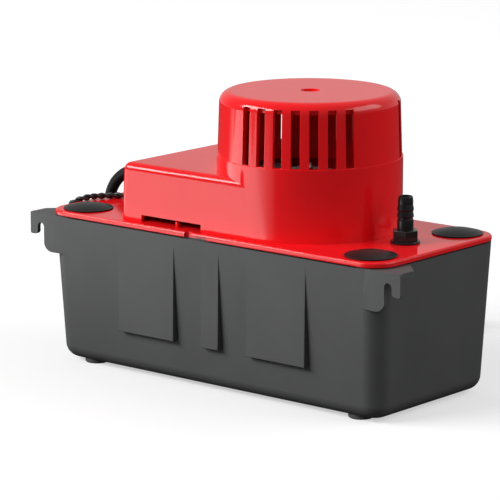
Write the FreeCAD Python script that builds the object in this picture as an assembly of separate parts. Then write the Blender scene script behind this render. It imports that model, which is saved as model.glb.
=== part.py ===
import FreeCAD
import Part
import math
import os

# A condensate pump: a moulded tank with wall hooks, a flat cover that carries a
# small motor, its pump and float, and a slotted moulded cover over the motor.
# Millimetres. X runs along the long side, the front looks towards -Y, Z is up,
# and the origin is on the floor under the middle of the tank.

V = FreeCAD.Vector

# Tank cover: the flat lid that the rest is set out from
LID_LENGTH = 280.0
LID_WIDTH = 128.0
LID_CORNER = 16.5
LID_THICK = 3.5
LID_EDGE = 1.0
LID_RIB_DEPTH = 6.0
LID_RIB_THICK = 1.8
LID_RIB_GAP = 0.6
PRY_NOTCH_X = -14.6
PRY_NOTCH_R = 3.0
PRY_SLOT_END = 0.8
PRY_SLOT_DEPTH = 3.0
PRY_SLOT_HEIGHT = 2.2

# Tank: an open box with leaning walls
TANK_HEIGHT = 100.0
TANK_INSET = 1.2
TANK_WALL = 2.5
TANK_FLOOR = 2.5
TANK_CORNER = 13.5
TANK_CORNER_LOW = 12.0
END_LEAN = 3.8
SIDE_LEAN = 5.2
TANK_EDGE = 9.0
FOOT_HEIGHT = 2.2
FOOT_R = 8.0
FOOT_END_INSET = 28.0
FOOT_SIDE_INSET = 19.0

# Plumb panels on the long walls, by their middle and width
PANELS = ((-52.0, 48.0), (2.5, 15.0), (57.0, 48.0))
PANEL_INSET = 0.8
PANEL_LOW = 29.5
PANEL_DROP = 4.0

# Wall hooks at the two front corners
HOOK_OUT = 15.0
HOOK_PLATE = 2.8
HOOK_DROP = 0.4
HOOK_ROOT = 34.0
HOOK_DEPTH = 26.0
HOOK_ROUND = 7.0
FINGER_WIDTH = 6.5
FINGER_DEPTH = 15.2
SLOT_WIDTH = 5.7
SLOT_DROP = 7.0
EAR_THICK = 3.8
EAR_BACK = 13.8
EAR_ROOT = 26.3

# Motor cover: a round dome and a long low box in one moulding
MOTOR_X = 31.0
MOTOR_Y = 3.5
DOME_MARGIN = 4.0
DOME_STEP = 0.6
DOME_TAPER = 1.4
DOME_STEP_HEIGHT = 47.0
DOME_HEIGHT = 88.5
DOME_SHOULDER = 7.2
BOX_REACH = 111.5
BOX_HEIGHT = 37.5
BOX_LEAN = 2.0
BOX_CORNER = 5.5
BOX_EDGE = 5.0
BOX_SIDE_INSET = 0.1
COVER_WALL = 3.0
ROOF_WALL = 3.4
ROOF_INNER_ROUND = 4.5
ROOF_LIP = 3.6
VENT_WIDTH = 5.65
VENT_PITCH = 11.4
VENT_COUNT = 7
VENT_GROUPS = 3
VENT_ANGLE = 30.0
VENT_SILL = 0.3
VENT_TOP_GAP = 4.4
TOP_HOLE_R = 3.1
TOP_SINK_R = 6.5
TOP_SINK_DEPTH = 2.2
TAB_NOTCH_X = -61.0
TAB_NOTCH_LENGTH = 51.0
TAB_NOTCH_HEIGHT = 4.5
NUB_X = -31.1
NUB_R = 1.3
NUB_HEIGHT = 3.8
BOSS_R = 4.2
BOSS_HEIGHT = 16.0
BOSS_BOX_X = 8.5
BOSS_BOX_Y = 8.9
BOSS_DOME_INSET = 9.0
BOSS_DOME_ANGLE = 40.0
COVER_SCREW_R = 1.5
COVER_SCREW_LENGTH = 14.0
COVER_SCREW_HEAD_R = 3.2
COVER_SCREW_HEAD = 2.0

# Inlet plugs in the four corners of the lid
INLET_END_INSET = 21.4
INLET_SIDE_INSET = 19.0
INLET_R = 14.0
PLUG_R = 16.5
PLUG_LIP = 1.0
PLUG_CROWN = 2.6
PLUG_SKIRT = 7.5
PLUG_WALL = 1.8

# Check valve with a stepped hose end
OUTLET_INSET = 29.0
OUTLET_Y = 0.0
VALVE_FLANGE_R = 9.5
VALVE_FLANGE = 1.7
HEX_ACROSS = 15.0
HEX_HEIGHT = 6.8
NECK_R = 5.2
NECK_HEIGHT = 7.6
BARB_R = (5.4, 5.35, 4.95)
BARB_WAIST = 4.7
BARB_PITCH = 4.3
BARB_RISE = 1.0
VALVE_TIP_R = 4.6
VALVE_HEIGHT = 30.0
VALVE_BORE = 3.7
VALVE_THREAD_R = 7.4
VALVE_THREAD = 8.5
VALVE_INLET_R = 3.0
VALVE_CHAMBER_R = 4.9
VALVE_SEAT = 4.5
VALVE_CHAMBER = 10.0
FLUTE_R = 0.9
BALL_R = 4.3
BALL_GAP = 0.15
SEAL_R = 0.9

# Lid socket for the valve and the rising pipe
SOCKET_R = 12.0
SOCKET_DEPTH = 16.0
PIPE_R = 5.5
PIPE_BORE = 4.0
PIPE_GAP = 0.05
PIPE_BEND = 16.0
PIPE_LEAD = 26.0
PIPE_RISE = 14.0

# Pump: round casing with a growing scroll, open at its lower plate
PUMP_CLEAR = 3.8
PLATE_THICK = 3.5
CHAMBER = 8.0
CASING_ROOF = 3.0
CASING_R = 33.0
SCROLL_R = 20.5
SCROLL_GROWTH = 2.25
TONGUE_ANGLE = 20.0
TONGUE_THICK = 1.0
EYE_R = 7.0
OUTLET_BOSS_R = 8.5
OUTLET_BOSS_END = 36.0
OUTLET_BOSS_START = 20.0
CASING_BORE = 3.6
COLUMN_R = 11.0
COLUMN_BORE = 8.0
COLUMN_FLANGE_R = 31.0
COLUMN_FLANGE = 3.5
COLUMN_WINDOW = 8.0
COLUMN_WINDOW_HEIGHT = 18.0
COLUMN_RIB = 14.0
COLUMN_RIB_OUT = 9.0
PUMP_LUG_R = 4.0
PUMP_LUG_OUT = 34.5
PUMP_LUG_ANGLES = (20.0, 120.0, 220.0)
PUMP_SCREW_R = 1.5
PUMP_SCREW_HEAD_R = 2.8
PUMP_SCREW_HEAD = 1.8
PUMP_FOOT_GAP = 0.3

# Impeller
IMPELLER_R = 19.0
IMPELLER_DISC = 1.6
VANE_HEIGHT = 4.8
VANE_COUNT = 6
VANE_SWEEP = 48.0
VANE_SPREAD = 6.0
IMPELLER_HUB_R = 5.0
IMPELLER_ROOF_GAP = 0.6
NUT_R = 4.0
NUT_HEIGHT = 2.6

# Motor: a small stack of iron sheets with one coil, four bolts and two brackets
SHAFT_R = 3.0
SHAFT_TOP_OVER = 1.5
DRIVER_SLOT = 1.0
POST_R = 4.6
POST_HEIGHT = 2.5
BOLT_R = 2.0
BOLT_GAP = 0.05
BOLT_SPREAD = 17.0
BOLT_HEAD_R = 3.6
BOLT_HEAD = 2.4
BRACKET_PLATE = 2.5
BRACKET_LEG = 4.5
BRACKET_LEG_R = 4.2
BRACKET_SIDE = 22.0
BEARING_BOSS_R = 9.0
BEARING_R = 6.0
BEARING_LENGTH = 6.0
BEARING_FIT = 0.03
STACK_THICK = 18.0
STACK_SIDE = 23.0
STACK_RIGHT = 22.0
STACK_LEFT = 43.0
STACK_LEG = 11.0
WINDOW_RIGHT = 20.0
WINDOW_SIDE = 13.0
STATOR_BORE = 13.5
AIR_GAP = 0.4
END_RING = 2.2
END_RING_INSET = 1.0
BOBBIN_WALL = 1.2
BOBBIN_GAP = 0.3
BOBBIN_FLANGE = 1.5
COIL_BUILD = 6.0
COIL_INSET = 0.8
SLINGER_R = 6.5
SLINGER_THICK = 2.0

# Float, its arm and the bracket that hangs from the lid
ARM_PIVOT_X = -20.0
ARM_PIVOT_DROP = 14.0
ARM_SWING = 25.0
ARM_DROOP = 40.0
ARM_REACH = 62.0
ARM_WIDTH = 8.0
ARM_THICK = 3.0
ARM_HUB_R = 3.6
FINGER_DROOP = 12.5
FINGER_REACH = 13.0
PIN_R = 1.5
PIN_FIT = 0.05
FLOAT_LENGTH = 56.0
FLOAT_DEPTH = 70.0
FLOAT_HEIGHT = 26.0
FLOAT_ROUND = 6.0
EAR_GAP = 0.5
EAR_PLATE = 2.5
EAR_R = 4.5
HANGER_BASE = 3.0
HANGER_LENGTH = 16.0
HANGER_WIDTH = 32.0
HANGER_SCREW_Y = 12.0

# Push rod between the float arm and the two switch levers
ROD_OFFSET = 10.0
ROD_R = 2.5
ROD_FIT = 0.08
ROD_GAP = 0.3
ROD_HEAD_R = 8.5
ROD_HEAD = 2.0
GUIDE_R = 5.0
GUIDE_ABOVE = 4.5
GUIDE_BELOW = 8.0

# Snap switches, standing side by side in the box of the motor cover
SWITCH_LENGTH = 27.8
SWITCH_HEIGHT = 15.9
SWITCH_THICK = 10.3
SWITCH_SPREAD = 6.15
SWITCH_RISE = 12.1
HINGE_RISE = 9.7
HINGE_X = -71.5
HINGE_EDGE = 2.3
LEVER_REACH = 42.5
LEVER_WIDTH = 4.0
LEVER_THICK = 0.8
LEVER_HUB_R = 1.4
LEVER_PIN_R = 0.6
LEVER_PIN_FIT = 0.05
LEVER_REST = {"pump": 2.967, "overflow": 0.54}
BUTTON_OUT = 8.0
BUTTON_R = 1.4
BUTTON_FIT = 0.08
BUTTON_GAP = 0.3
BUTTON_IN_CASE = 3.0
BUTTON_WELL = 4.6
CASE_EAR = 1.2
CASE_EAR_GAP = 0.3
CASE_HOLE_R = 1.55
CASE_HOLE_SPAN = 22.2
CASE_HOLE_RISE = 5.0
FRAME_PLATE = 1.5
FRAME_FOOT = 14.0
FRAME_OVER = 2.0
SMALL_SCREW_R = 1.5
SMALL_HEAD_R = 2.8
SMALL_HEAD = 1.6

# Power cord and switch leads
CORD_R = 3.9
EXIT_Y = 14.0
EXIT_RISE = 16.5
RELIEF_LENGTH = 24.0
RELIEF_ROOT_R = 6.6
RELIEF_TIP_R = 5.0
RELIEF_COLLAR_R = 8.2
RELIEF_COLLAR = 1.6
RELIEF_NUT = 1.6
COIL_X = -90.7
COIL_Y = 130.0
COIL_INNER_R = 38.3
COIL_TURNS_ACROSS = 3
COIL_LAYERS = 2
CORD_PITCH = 7.9
TAIL_LENGTH = 42.0
LEADS_R = 2.2
LEADS_EXIT_Y = 6.0
LEADS_EXIT_RISE = 6.5
GROMMET_R = 4.2
GROMMET_LIP = 1.2
TIP_R = 0.6
TIP_LENGTH = 9.0
PLUG_BODY = 32.0
PLUG_NECK = 20.0
PLUG_NECK_R = 6.0
PLUG_HALF = 11.8
PLUG_FACE_HALF = 14.0
BLADE_LENGTH = 16.5
BLADE_WIDTH = 6.4
BLADE_THICK = 1.5
BLADE_SPREAD = 6.35
EARTH_PIN_R = 2.4
EARTH_PIN_DROP = 5.9

# Levels and places worked out from the sizes above
RIM_Z = TANK_HEIGHT
DECK_Z = RIM_Z + LID_THICK
RIM_X = LID_LENGTH / 2 - TANK_INSET
RIM_Y = LID_WIDTH / 2 - TANK_INSET
FOOT_X = LID_LENGTH / 2 - FOOT_END_INSET
FOOT_Y = LID_WIDTH / 2 - FOOT_SIDE_INSET
PANEL_HIGH = RIM_Z - PANEL_DROP
HOOK_REACH = LID_LENGTH / 2 + HOOK_OUT
HOOK_ROOT_X = HOOK_REACH - HOOK_ROOT
HOOK_TOP = RIM_Z - HOOK_DROP
HOOK_LOW = RIM_Z - HOOK_DEPTH
FINGER_LOW = RIM_Z - FINGER_DEPTH
SLOT_TOP = RIM_Z - SLOT_DROP
DOME_R = LID_WIDTH / 2 - DOME_MARGIN
BOSS_DOME_R = DOME_R - BOSS_DOME_INSET
INLET_X = LID_LENGTH / 2 - INLET_END_INSET
INLET_Y = LID_WIDTH / 2 - INLET_SIDE_INSET
OUTLET_X = LID_LENGTH / 2 - OUTLET_INSET
EXIT_Z = DECK_Z + EXIT_RISE
LEADS_EXIT_Z = DECK_Z + LEADS_EXIT_RISE
FLOOR_Z = FOOT_HEIGHT + TANK_FLOOR
DOME_TOP_Z = DECK_Z + DOME_HEIGHT
STEP_Z = DECK_Z + DOME_STEP_HEIGHT
BOX_TOP_Z = DECK_Z + BOX_HEIGHT
BOX_END_X = MOTOR_X - BOX_REACH
BOX_HALF = DOME_R - BOX_SIDE_INSET
PUMP_Z = FLOOR_Z + PUMP_CLEAR
CHAMBER_Z = PUMP_Z + PLATE_THICK
CASING_ROOF_Z = CHAMBER_Z + CHAMBER
CASING_TOP_Z = CASING_ROOF_Z + CASING_ROOF
PUMP_OUT_Y = MOTOR_Y - SCROLL_R - 2 * SCROLL_GROWTH
PUMP_OUT_Z = CHAMBER_Z + CHAMBER / 2
POST_Z = DECK_Z + POST_HEIGHT
STACK_Z = POST_Z + BRACKET_PLATE + BRACKET_LEG
STACK_TOP_Z = STACK_Z + STACK_THICK
TOP_PLATE_Z = STACK_TOP_Z + BRACKET_LEG
MOTOR_TOP_Z = TOP_PLATE_Z + BRACKET_PLATE
ARM_Z = RIM_Z - ARM_PIVOT_DROP
ROD_X = ARM_PIVOT_X - ROD_OFFSET
HINGE_Z = DECK_Z + HINGE_RISE
CASE_Z = DECK_Z + SWITCH_RISE
CASE_X = HINGE_X - HINGE_EDGE
SWITCH_Y = {"pump": -SWITCH_SPREAD, "overflow": SWITCH_SPREAD}

# The cord's route from the strain relief to the coil, chosen by hand
CORD_ROUTE = [
    (-121.0, 14.0, 121.2),
    (-141.0, 14.0, 120.6),
    (-155.4, 14.0, 106.4),
    (-157.5, 15.0, 84.0),
    (-157.0, 17.0, 56.0),
    (-156.0, 26.0, 27.0),
    (-154.5, 52.0, 7.5),
    (-149.5, 88.0, 3.95),
    (-145.4, 122.0, 3.95),
]
# The leads' route from the grommet to their bare ends, chosen by hand
LEADS_ROUTE = [
    (-97.0, 6.0, 109.4),
    (-115.0, 3.5, 107.6),
    (-130.5, -5.0, 106.2),
    (-137.0, -14.5, 105.8),
    (-139.0, -28.0, 105.8),
    (-146.5, -35.2, 101.0),
    (-151.5, -35.0, 89.0),
    (-153.0, -22.0, 73.0),
    (-152.0, -3.0, 52.0),
    (-150.0, 17.0, 32.0),
    (-147.0, 37.0, 13.0),
    (-142.0, 58.0, 3.4),
    (-135.0, 76.0, 2.3),
]


def block(x0, x1, y0, y1, z0, z1):
    """A box between two corners."""
    low = V(min(x0, x1), min(y0, y1), min(z0, z1))
    return Part.makeBox(abs(x1 - x0), abs(y1 - y0), abs(z1 - z0), low)


def rod(radius, z0, z1, x=0.0, y=0.0):
    """An upright cylinder."""
    return Part.makeCylinder(radius, z1 - z0, V(x, y, z0))


def rod_along(radius, start, end):
    """A cylinder from one point to another."""
    way = end - start
    return Part.makeCylinder(radius, way.Length, start, way)


def cone(r0, r1, z0, z1, x=0.0, y=0.0):
    """An upright cone."""
    return Part.makeCone(r0, r1, z1 - z0, V(x, y, z0))


def tube(outer, inner, z0, z1, x=0.0, y=0.0):
    """An upright tube."""
    return rod(outer, z0, z1, x, y).cut(rod(inner, z0 - 1, z1 + 1, x, y))


def join(shapes):
    """Fuse a list of shapes into one."""
    return shapes[0].multiFuse(shapes[1:]).removeSplitter()


def prism(points, direction):
    """Extrude a closed outline of points."""
    return Part.Face(Part.makePolygon(points + points[:1])).extrude(direction)


def turned(profile, x=0.0, y=0.0):
    """Revolve an outline of (radius, height) points about an upright axis."""
    points = [V(r, 0, z) for r, z in profile]
    face = Part.Face(Part.makePolygon(points + points[:1]))
    body = face.revolve(V(0, 0, 0), V(0, 0, 1), 360)
    body.translate(V(x, y, 0))
    return body


def level_edges(shape, z, skip=None):
    """The edges of a shape that lie at one height."""
    found = []
    for edge in shape.Edges:
        flat = all(abs(v.Point.z - z) < 1e-4 for v in edge.Vertexes)
        if flat and not (skip and skip(edge)):
            found.append(edge)
    return found


def rounded_frame(half_x, half_y, radius, z):
    """A rounded rectangle about the origin as a wire."""
    inset = radius * (1 - math.sqrt(0.5))
    edges = []
    corners = ((1, 1), (-1, 1), (-1, -1), (1, -1))
    ends = []
    for i, (sx, sy) in enumerate(corners):
        a = V(sx * half_x, sy * (half_y - radius), z)
        b = V(sx * (half_x - radius), sy * half_y, z)
        middle = V(sx * (half_x - inset), sy * (half_y - inset), z)
        first, last = (a, b) if i % 2 == 0 else (b, a)
        ends.append((first, middle, last))
    for i, (first, middle, last) in enumerate(ends):
        edges.append(Part.Arc(first, middle, last).toShape())
        edges.append(Part.LineSegment(last, ends[(i + 1) % 4][0]).toShape())
    return Part.Wire(edges)


def rounded_slab(half_x, half_y, radius, z0, z1):
    """A plate with rounded corners about the origin."""
    face = Part.Face(rounded_frame(half_x, half_y, radius, z0))
    return face.extrude(V(0, 0, z1 - z0))


def tank_hull(inset, z0, z1):
    """The leaning form of the tank between two heights, inset by a wall."""
    frames = []
    for z in (z0, z1):
        share = (RIM_Z - z) / (RIM_Z - FOOT_HEIGHT)
        half_x = RIM_X - END_LEAN * share - inset
        half_y = RIM_Y - SIDE_LEAN * share - inset
        corner = TANK_CORNER - (TANK_CORNER - TANK_CORNER_LOW) * share - inset
        frames.append(rounded_frame(half_x, half_y, corner, z))
    hull = Part.makeLoft(frames, True, True)
    return hull.makeFillet(TANK_EDGE - inset, level_edges(hull, z0))


def hook(side):
    """One wall hook: a plumb plate with an open slot, and its ear behind."""
    def at(x, z):
        return V(side * x, 0, z)
    finger_in = HOOK_REACH - FINGER_WIDTH
    slot_in = finger_in - SLOT_WIDTH
    round_in = SLOT_WIDTH / 2
    slant = HOOK_ROUND * (1 - math.sqrt(0.5))
    foot_x = slot_in - HOOK_ROUND
    line = Part.LineSegment
    edges = [
        line(at(HOOK_ROOT_X, HOOK_LOW), at(foot_x, HOOK_LOW)),
        Part.Arc(at(foot_x, HOOK_LOW), at(slot_in - slant, HOOK_LOW + slant),
                 at(slot_in, HOOK_LOW + HOOK_ROUND)),
        line(at(slot_in, HOOK_LOW + HOOK_ROUND), at(slot_in, SLOT_TOP - round_in)),
        Part.Arc(at(slot_in, SLOT_TOP - round_in), at(slot_in + round_in, SLOT_TOP),
                 at(finger_in, SLOT_TOP - round_in)),
        line(at(finger_in, SLOT_TOP - round_in), at(finger_in, FINGER_LOW)),
        line(at(finger_in, FINGER_LOW), at(HOOK_REACH, FINGER_LOW)),
        line(at(HOOK_REACH, FINGER_LOW), at(HOOK_REACH, HOOK_TOP)),
        line(at(HOOK_REACH, HOOK_TOP), at(HOOK_ROOT_X, HOOK_TOP)),
        line(at(HOOK_ROOT_X, HOOK_TOP), at(HOOK_ROOT_X, HOOK_LOW)),
    ]
    face = Part.Face(Part.Wire([e.toShape() for e in edges]))
    plate = face.extrude(V(0, HOOK_PLATE, 0))
    plate.translate(V(0, -RIM_Y, 0))
    back_y = -RIM_Y + EAR_BACK
    root_y = -RIM_Y + EAR_ROOT
    ear = prism([
        V(side * HOOK_ROOT_X, -RIM_Y, HOOK_TOP - EAR_THICK),
        V(side * HOOK_REACH, -RIM_Y, HOOK_TOP - EAR_THICK),
        V(side * HOOK_REACH, back_y, HOOK_TOP - EAR_THICK),
        V(side * (HOOK_REACH - 2.0), back_y + 2.0, HOOK_TOP - EAR_THICK),
        V(side * (HOOK_REACH - 2.0 - (root_y - back_y - 2.0)), root_y, HOOK_TOP - EAR_THICK),
        V(side * HOOK_ROOT_X, root_y, HOOK_TOP - EAR_THICK),
    ], V(0, 0, EAR_THICK))
    return plate.fuse(ear)


def panel(middle, width, side):
    """A plumb raised panel on a leaning long wall."""
    face_y = side * (LID_WIDTH / 2 - PANEL_INSET)
    root_y = side * (RIM_Y - SIDE_LEAN - TANK_WALL)
    return block(middle - width / 2, middle + width / 2, root_y, face_y, PANEL_LOW, PANEL_HIGH)


def tank():
    """Tank with its panels, feet and hooks."""
    parts = [tank_hull(0.0, FOOT_HEIGHT, RIM_Z)]
    for side in (-1, 1):
        for middle, width in PANELS:
            parts.append(panel(middle, width, side))
        parts.append(hook(side))
        for end in (-1, 1):
            parts.append(rod(FOOT_R, 0, FLOOR_Z, side * FOOT_X, end * FOOT_Y))
    return join(parts).cut(tank_hull(TANK_WALL, FLOOR_Z, RIM_Z + 1))


def cover_screw_places():
    """Where the four screws of the motor cover stand."""
    left = BOX_END_X + BOSS_BOX_X
    places = [(left, MOTOR_Y - BOX_HALF + BOSS_BOX_Y), (left, MOTOR_Y + BOX_HALF - BOSS_BOX_Y)]
    for sign in (-1, 1):
        angle = math.radians(sign * BOSS_DOME_ANGLE)
        x = MOTOR_X + BOSS_DOME_R * math.cos(angle)
        places.append((x, MOTOR_Y + BOSS_DOME_R * math.sin(angle)))
    return places


def bolt_places():
    """Where the four motor bolts stand."""
    return [(MOTOR_X + sx * BOLT_SPREAD, MOTOR_Y + sy * BOLT_SPREAD)
            for sx in (-1, 1) for sy in (-1, 1)]


def inlet_places():
    """Name and place of each inlet plug."""
    return [(row + "_" + column, sx * INLET_X, sy * INLET_Y)
            for row, sy in (("front", -1), ("rear", 1))
            for column, sx in (("left", -1), ("right", 1))]


def tank_cover():
    """The lid: plate, rib, guide, posts, valve socket and all its holes."""
    plate = rounded_slab(LID_LENGTH / 2, LID_WIDTH / 2, LID_CORNER, RIM_Z, DECK_Z)
    plate = plate.makeFillet(LID_EDGE, level_edges(plate, DECK_Z))
    rib_x = RIM_X - TANK_WALL - LID_RIB_GAP
    rib_y = RIM_Y - TANK_WALL - LID_RIB_GAP
    rib_corner = TANK_CORNER - TANK_WALL - LID_RIB_GAP
    rib_z = RIM_Z - LID_RIB_DEPTH
    rib = rounded_slab(rib_x, rib_y, rib_corner, rib_z, RIM_Z)
    rib = rib.cut(rounded_slab(rib_x - LID_RIB_THICK, rib_y - LID_RIB_THICK,
                               rib_corner - LID_RIB_THICK, rib_z - 1, RIM_Z))
    parts = [plate, rib]
    for x, y in bolt_places():
        parts.append(rod(POST_R, DECK_Z - 1, POST_Z, x, y))
    parts.append(rod(SOCKET_R, RIM_Z - SOCKET_DEPTH, RIM_Z + 1, OUTLET_X, OUTLET_Y))
    parts.append(rod(GUIDE_R, RIM_Z - GUIDE_BELOW, DECK_Z + GUIDE_ABOVE, ROD_X, 0))
    nub_y = MOTOR_Y - BOX_HALF + COVER_WALL / 2
    parts.append(rod(NUB_R, DECK_Z - 1, DECK_Z + NUB_HEIGHT, NUB_X, nub_y))
    lid = join(parts)
    cuts = [rod(INLET_R, RIM_Z - PLUG_SKIRT - 1, DECK_Z + 1, x, y)
            for _, x, y in inlet_places()]
    cuts.append(rod(COLUMN_BORE, RIM_Z - 1, DECK_Z + 1, MOTOR_X, MOTOR_Y))
    cuts += [rod(BOLT_R + BOLT_GAP, RIM_Z - 1, POST_Z + 1, x, y) for x, y in bolt_places()]
    cuts += [rod(COVER_SCREW_R + BOLT_GAP, RIM_Z - 1, DECK_Z + 1, x, y)
             for x, y in cover_screw_places()]
    cuts.append(rod(ROD_R + ROD_FIT, RIM_Z - GUIDE_BELOW - 1, DECK_Z + GUIDE_ABOVE + 1, ROD_X, 0))
    low = RIM_Z - SOCKET_DEPTH
    thread_z = DECK_Z - VALVE_THREAD - 0.5
    cuts.append(rod(PIPE_R + PIPE_GAP, low - 1, thread_z - 1.5, OUTLET_X, OUTLET_Y))
    cuts.append(rod(PIPE_BORE, low, DECK_Z, OUTLET_X, OUTLET_Y))
    cuts.append(rod(VALVE_THREAD_R + BOLT_GAP, thread_z, DECK_Z + 1, OUTLET_X, OUTLET_Y))
    for x, y in frame_screw_places():
        cuts.append(rod(SMALL_SCREW_R + BOLT_GAP, RIM_Z - 1, DECK_Z + 1, x, y))
    for x, y in hanger_screw_places():
        cuts.append(rod(SMALL_SCREW_R + BOLT_GAP, RIM_Z - 1, DECK_Z + 1, x, y))
    front = -LID_WIDTH / 2
    cuts.append(rod(PRY_NOTCH_R, RIM_Z - 1, DECK_Z + 1, PRY_NOTCH_X, front))
    cuts.append(block(PRY_NOTCH_X, PRY_SLOT_END, front - 1, front + PRY_SLOT_DEPTH,
                      RIM_Z - 1, RIM_Z + PRY_SLOT_HEIGHT))
    return lid.cut(cuts)


def dome_form(inset, roof, shoulder, z0):
    """The round of the motor cover as a turned solid, inset by a wall."""
    low = DOME_R - inset
    high = low - DOME_STEP
    top = high - DOME_TAPER
    top_z = DOME_TOP_Z - roof
    slant = shoulder * (1 - math.sqrt(0.5))
    p = [V(0, 0, z0), V(low, 0, z0), V(low, 0, STEP_Z), V(high, 0, STEP_Z),
         V(top, 0, top_z - shoulder), V(top - shoulder, 0, top_z), V(0, 0, top_z)]
    edges = [Part.LineSegment(p[i], p[i + 1]).toShape() for i in range(4)]
    bend = V(top - slant, 0, top_z - slant)
    edges.append(Part.Arc(p[4], bend, p[5]).toShape())
    edges.append(Part.LineSegment(p[5], p[6]).toShape())
    edges.append(Part.LineSegment(p[6], p[0]).toShape())
    body = Part.Face(Part.Wire(edges)).revolve(V(0, 0, 0), V(0, 0, 1), 360)
    body.translate(V(MOTOR_X, MOTOR_Y, 0))
    return body


def box_frame(left, half, corner, z):
    """The plan of the low box: two rounded corners at the left, open at the dome."""
    slant = corner * (1 - math.sqrt(0.5))
    low = MOTOR_Y - half
    high = MOTOR_Y + half
    line = Part.LineSegment
    edges = [
        line(V(MOTOR_X, low, z), V(left + corner, low, z)),
        Part.Arc(V(left + corner, low, z), V(left + slant, low + slant, z),
                 V(left, low + corner, z)),
        line(V(left, low + corner, z), V(left, high - corner, z)),
        Part.Arc(V(left, high - corner, z), V(left + slant, high - slant, z),
                 V(left + corner, high, z)),
        line(V(left + corner, high, z), V(MOTOR_X, high, z)),
        line(V(MOTOR_X, high, z), V(MOTOR_X, low, z)),
    ]
    return Part.Wire([e.toShape() for e in edges])


def box_form(inset, z0, z1):
    """The low box of the motor cover as a solid, inset by a wall."""
    frames = []
    for z in (z0, z1):
        left = BOX_END_X + BOX_LEAN * (z - DECK_Z) / BOX_HEIGHT + inset
        frames.append(box_frame(left, BOX_HALF - inset, BOX_CORNER - inset, z))
    body = Part.makeLoft(frames, True, True)

    def at_dome(edge):
        return all(abs(v.Point.x - MOTOR_X) < 1e-4 for v in edge.Vertexes)
    return body.makeFillet(BOX_EDGE - inset, level_edges(body, z1, at_dome))


def vent_cutters():
    """One upright cutter for each slot of the dome."""
    inner = DOME_R - COVER_WALL - DOME_STEP - DOME_TAPER - 0.2
    cutters = []
    for group in range(VENT_GROUPS):
        middle = VENT_ANGLE + group * 360.0 / VENT_GROUPS
        for i in range(VENT_COUNT):
            angle = middle + (i - (VENT_COUNT - 1) / 2) * VENT_PITCH
            cutter = block(-VENT_WIDTH / 2, VENT_WIDTH / 2, -DOME_R - 5, -inner,
                           STEP_Z + VENT_SILL, DOME_TOP_Z - VENT_TOP_GAP)
            cutter.rotate(V(0, 0, 0), V(0, 0, 1), angle)
            cutter.translate(V(MOTOR_X, MOTOR_Y, 0))
            cutters.append(cutter)
    return cutters


def relief_wall_x(z):
    """Outer face of the box's left end at a height."""
    return BOX_END_X + BOX_LEAN * (z - DECK_Z) / BOX_HEIGHT


def motor_cover():
    """The red moulding: dome, box, slots, screw bosses and their ribs."""
    outer = dome_form(0.0, 0.0, DOME_SHOULDER, DECK_Z)
    outer = outer.fuse(box_form(0.0, DECK_Z, BOX_TOP_Z)).removeSplitter()
    dome_room = dome_form(COVER_WALL, ROOF_WALL, ROOF_INNER_ROUND, DECK_Z - 1)
    box_room = box_form(COVER_WALL, DECK_Z - 1, BOX_TOP_Z - COVER_WALL)
    lip_z = BOX_TOP_Z - COVER_WALL - ROOF_LIP
    lip = tube(DOME_R, DOME_R - COVER_WALL, lip_z, BOX_TOP_Z, MOTOR_X, MOTOR_Y)
    box_room = box_room.cut(lip)
    shell = outer.cut([dome_room, box_room])
    bosses = []
    for i, (x, y) in enumerate(cover_screw_places()):
        boss = rod(BOSS_R, DECK_Z, DECK_Z + BOSS_HEIGHT, x, y)
        in_box = i < 2
        out_x = BOX_END_X + COVER_WALL / 2 if in_box else x + (x - MOTOR_X) * 0.12
        out_y = y if in_box else y + (y - MOTOR_Y) * 0.12
        web = block(min(x, out_x), max(x, out_x), y - 1, y + 1, DECK_Z, DECK_Z + BOSS_HEIGHT)
        if not in_box:
            web = prism([V(x - 1, y, DECK_Z), V(x + 1, y, DECK_Z), V(out_x + 1, out_y, DECK_Z),
                         V(out_x - 1, out_y, DECK_Z)], V(0, 0, BOSS_HEIGHT))
        bosses += [boss, web]
    shell = join([shell] + bosses)
    cuts = vent_cutters()
    cuts += [rod(COVER_SCREW_R, DECK_Z - 1, DECK_Z + COVER_SCREW_LENGTH, x, y)
             for x, y in cover_screw_places()]
    cuts.append(rod(TOP_HOLE_R, DOME_TOP_Z - 10, DOME_TOP_Z + 1, MOTOR_X, MOTOR_Y))
    cuts.append(cone(TOP_HOLE_R, TOP_SINK_R, DOME_TOP_Z - TOP_SINK_DEPTH, DOME_TOP_Z + 0.01,
                     MOTOR_X, MOTOR_Y))
    front = MOTOR_Y - BOX_HALF
    cuts.append(block(TAB_NOTCH_X, TAB_NOTCH_X + TAB_NOTCH_LENGTH, front - 1,
                      front + COVER_WALL + 1, DECK_Z - 1, DECK_Z + TAB_NOTCH_HEIGHT))
    wall_x = relief_wall_x(EXIT_Z)
    cuts.append(rod_along(RELIEF_ROOT_R, V(wall_x - 3, EXIT_Y, EXIT_Z),
                          V(wall_x + 2 * COVER_WALL, EXIT_Y, EXIT_Z)))
    cuts.append(rod_along(GROMMET_R - GROMMET_LIP, V(wall_x - 3, LEADS_EXIT_Y, LEADS_EXIT_Z),
                          V(wall_x + 2 * COVER_WALL, LEADS_EXIT_Y, LEADS_EXIT_Z)))
    return shell.cut(cuts)


def cover_screws():
    """Four screws that hold the motor cover from below the lid."""
    screws = []
    for x, y in cover_screw_places():
        shank = rod(COVER_SCREW_R, RIM_Z - 0.5, RIM_Z - 0.5 + COVER_SCREW_LENGTH, x, y)
        head = rod(COVER_SCREW_HEAD_R, RIM_Z - COVER_SCREW_HEAD, RIM_Z, x, y)
        screws.append(head.fuse(shank).removeSplitter())
    return screws


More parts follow.
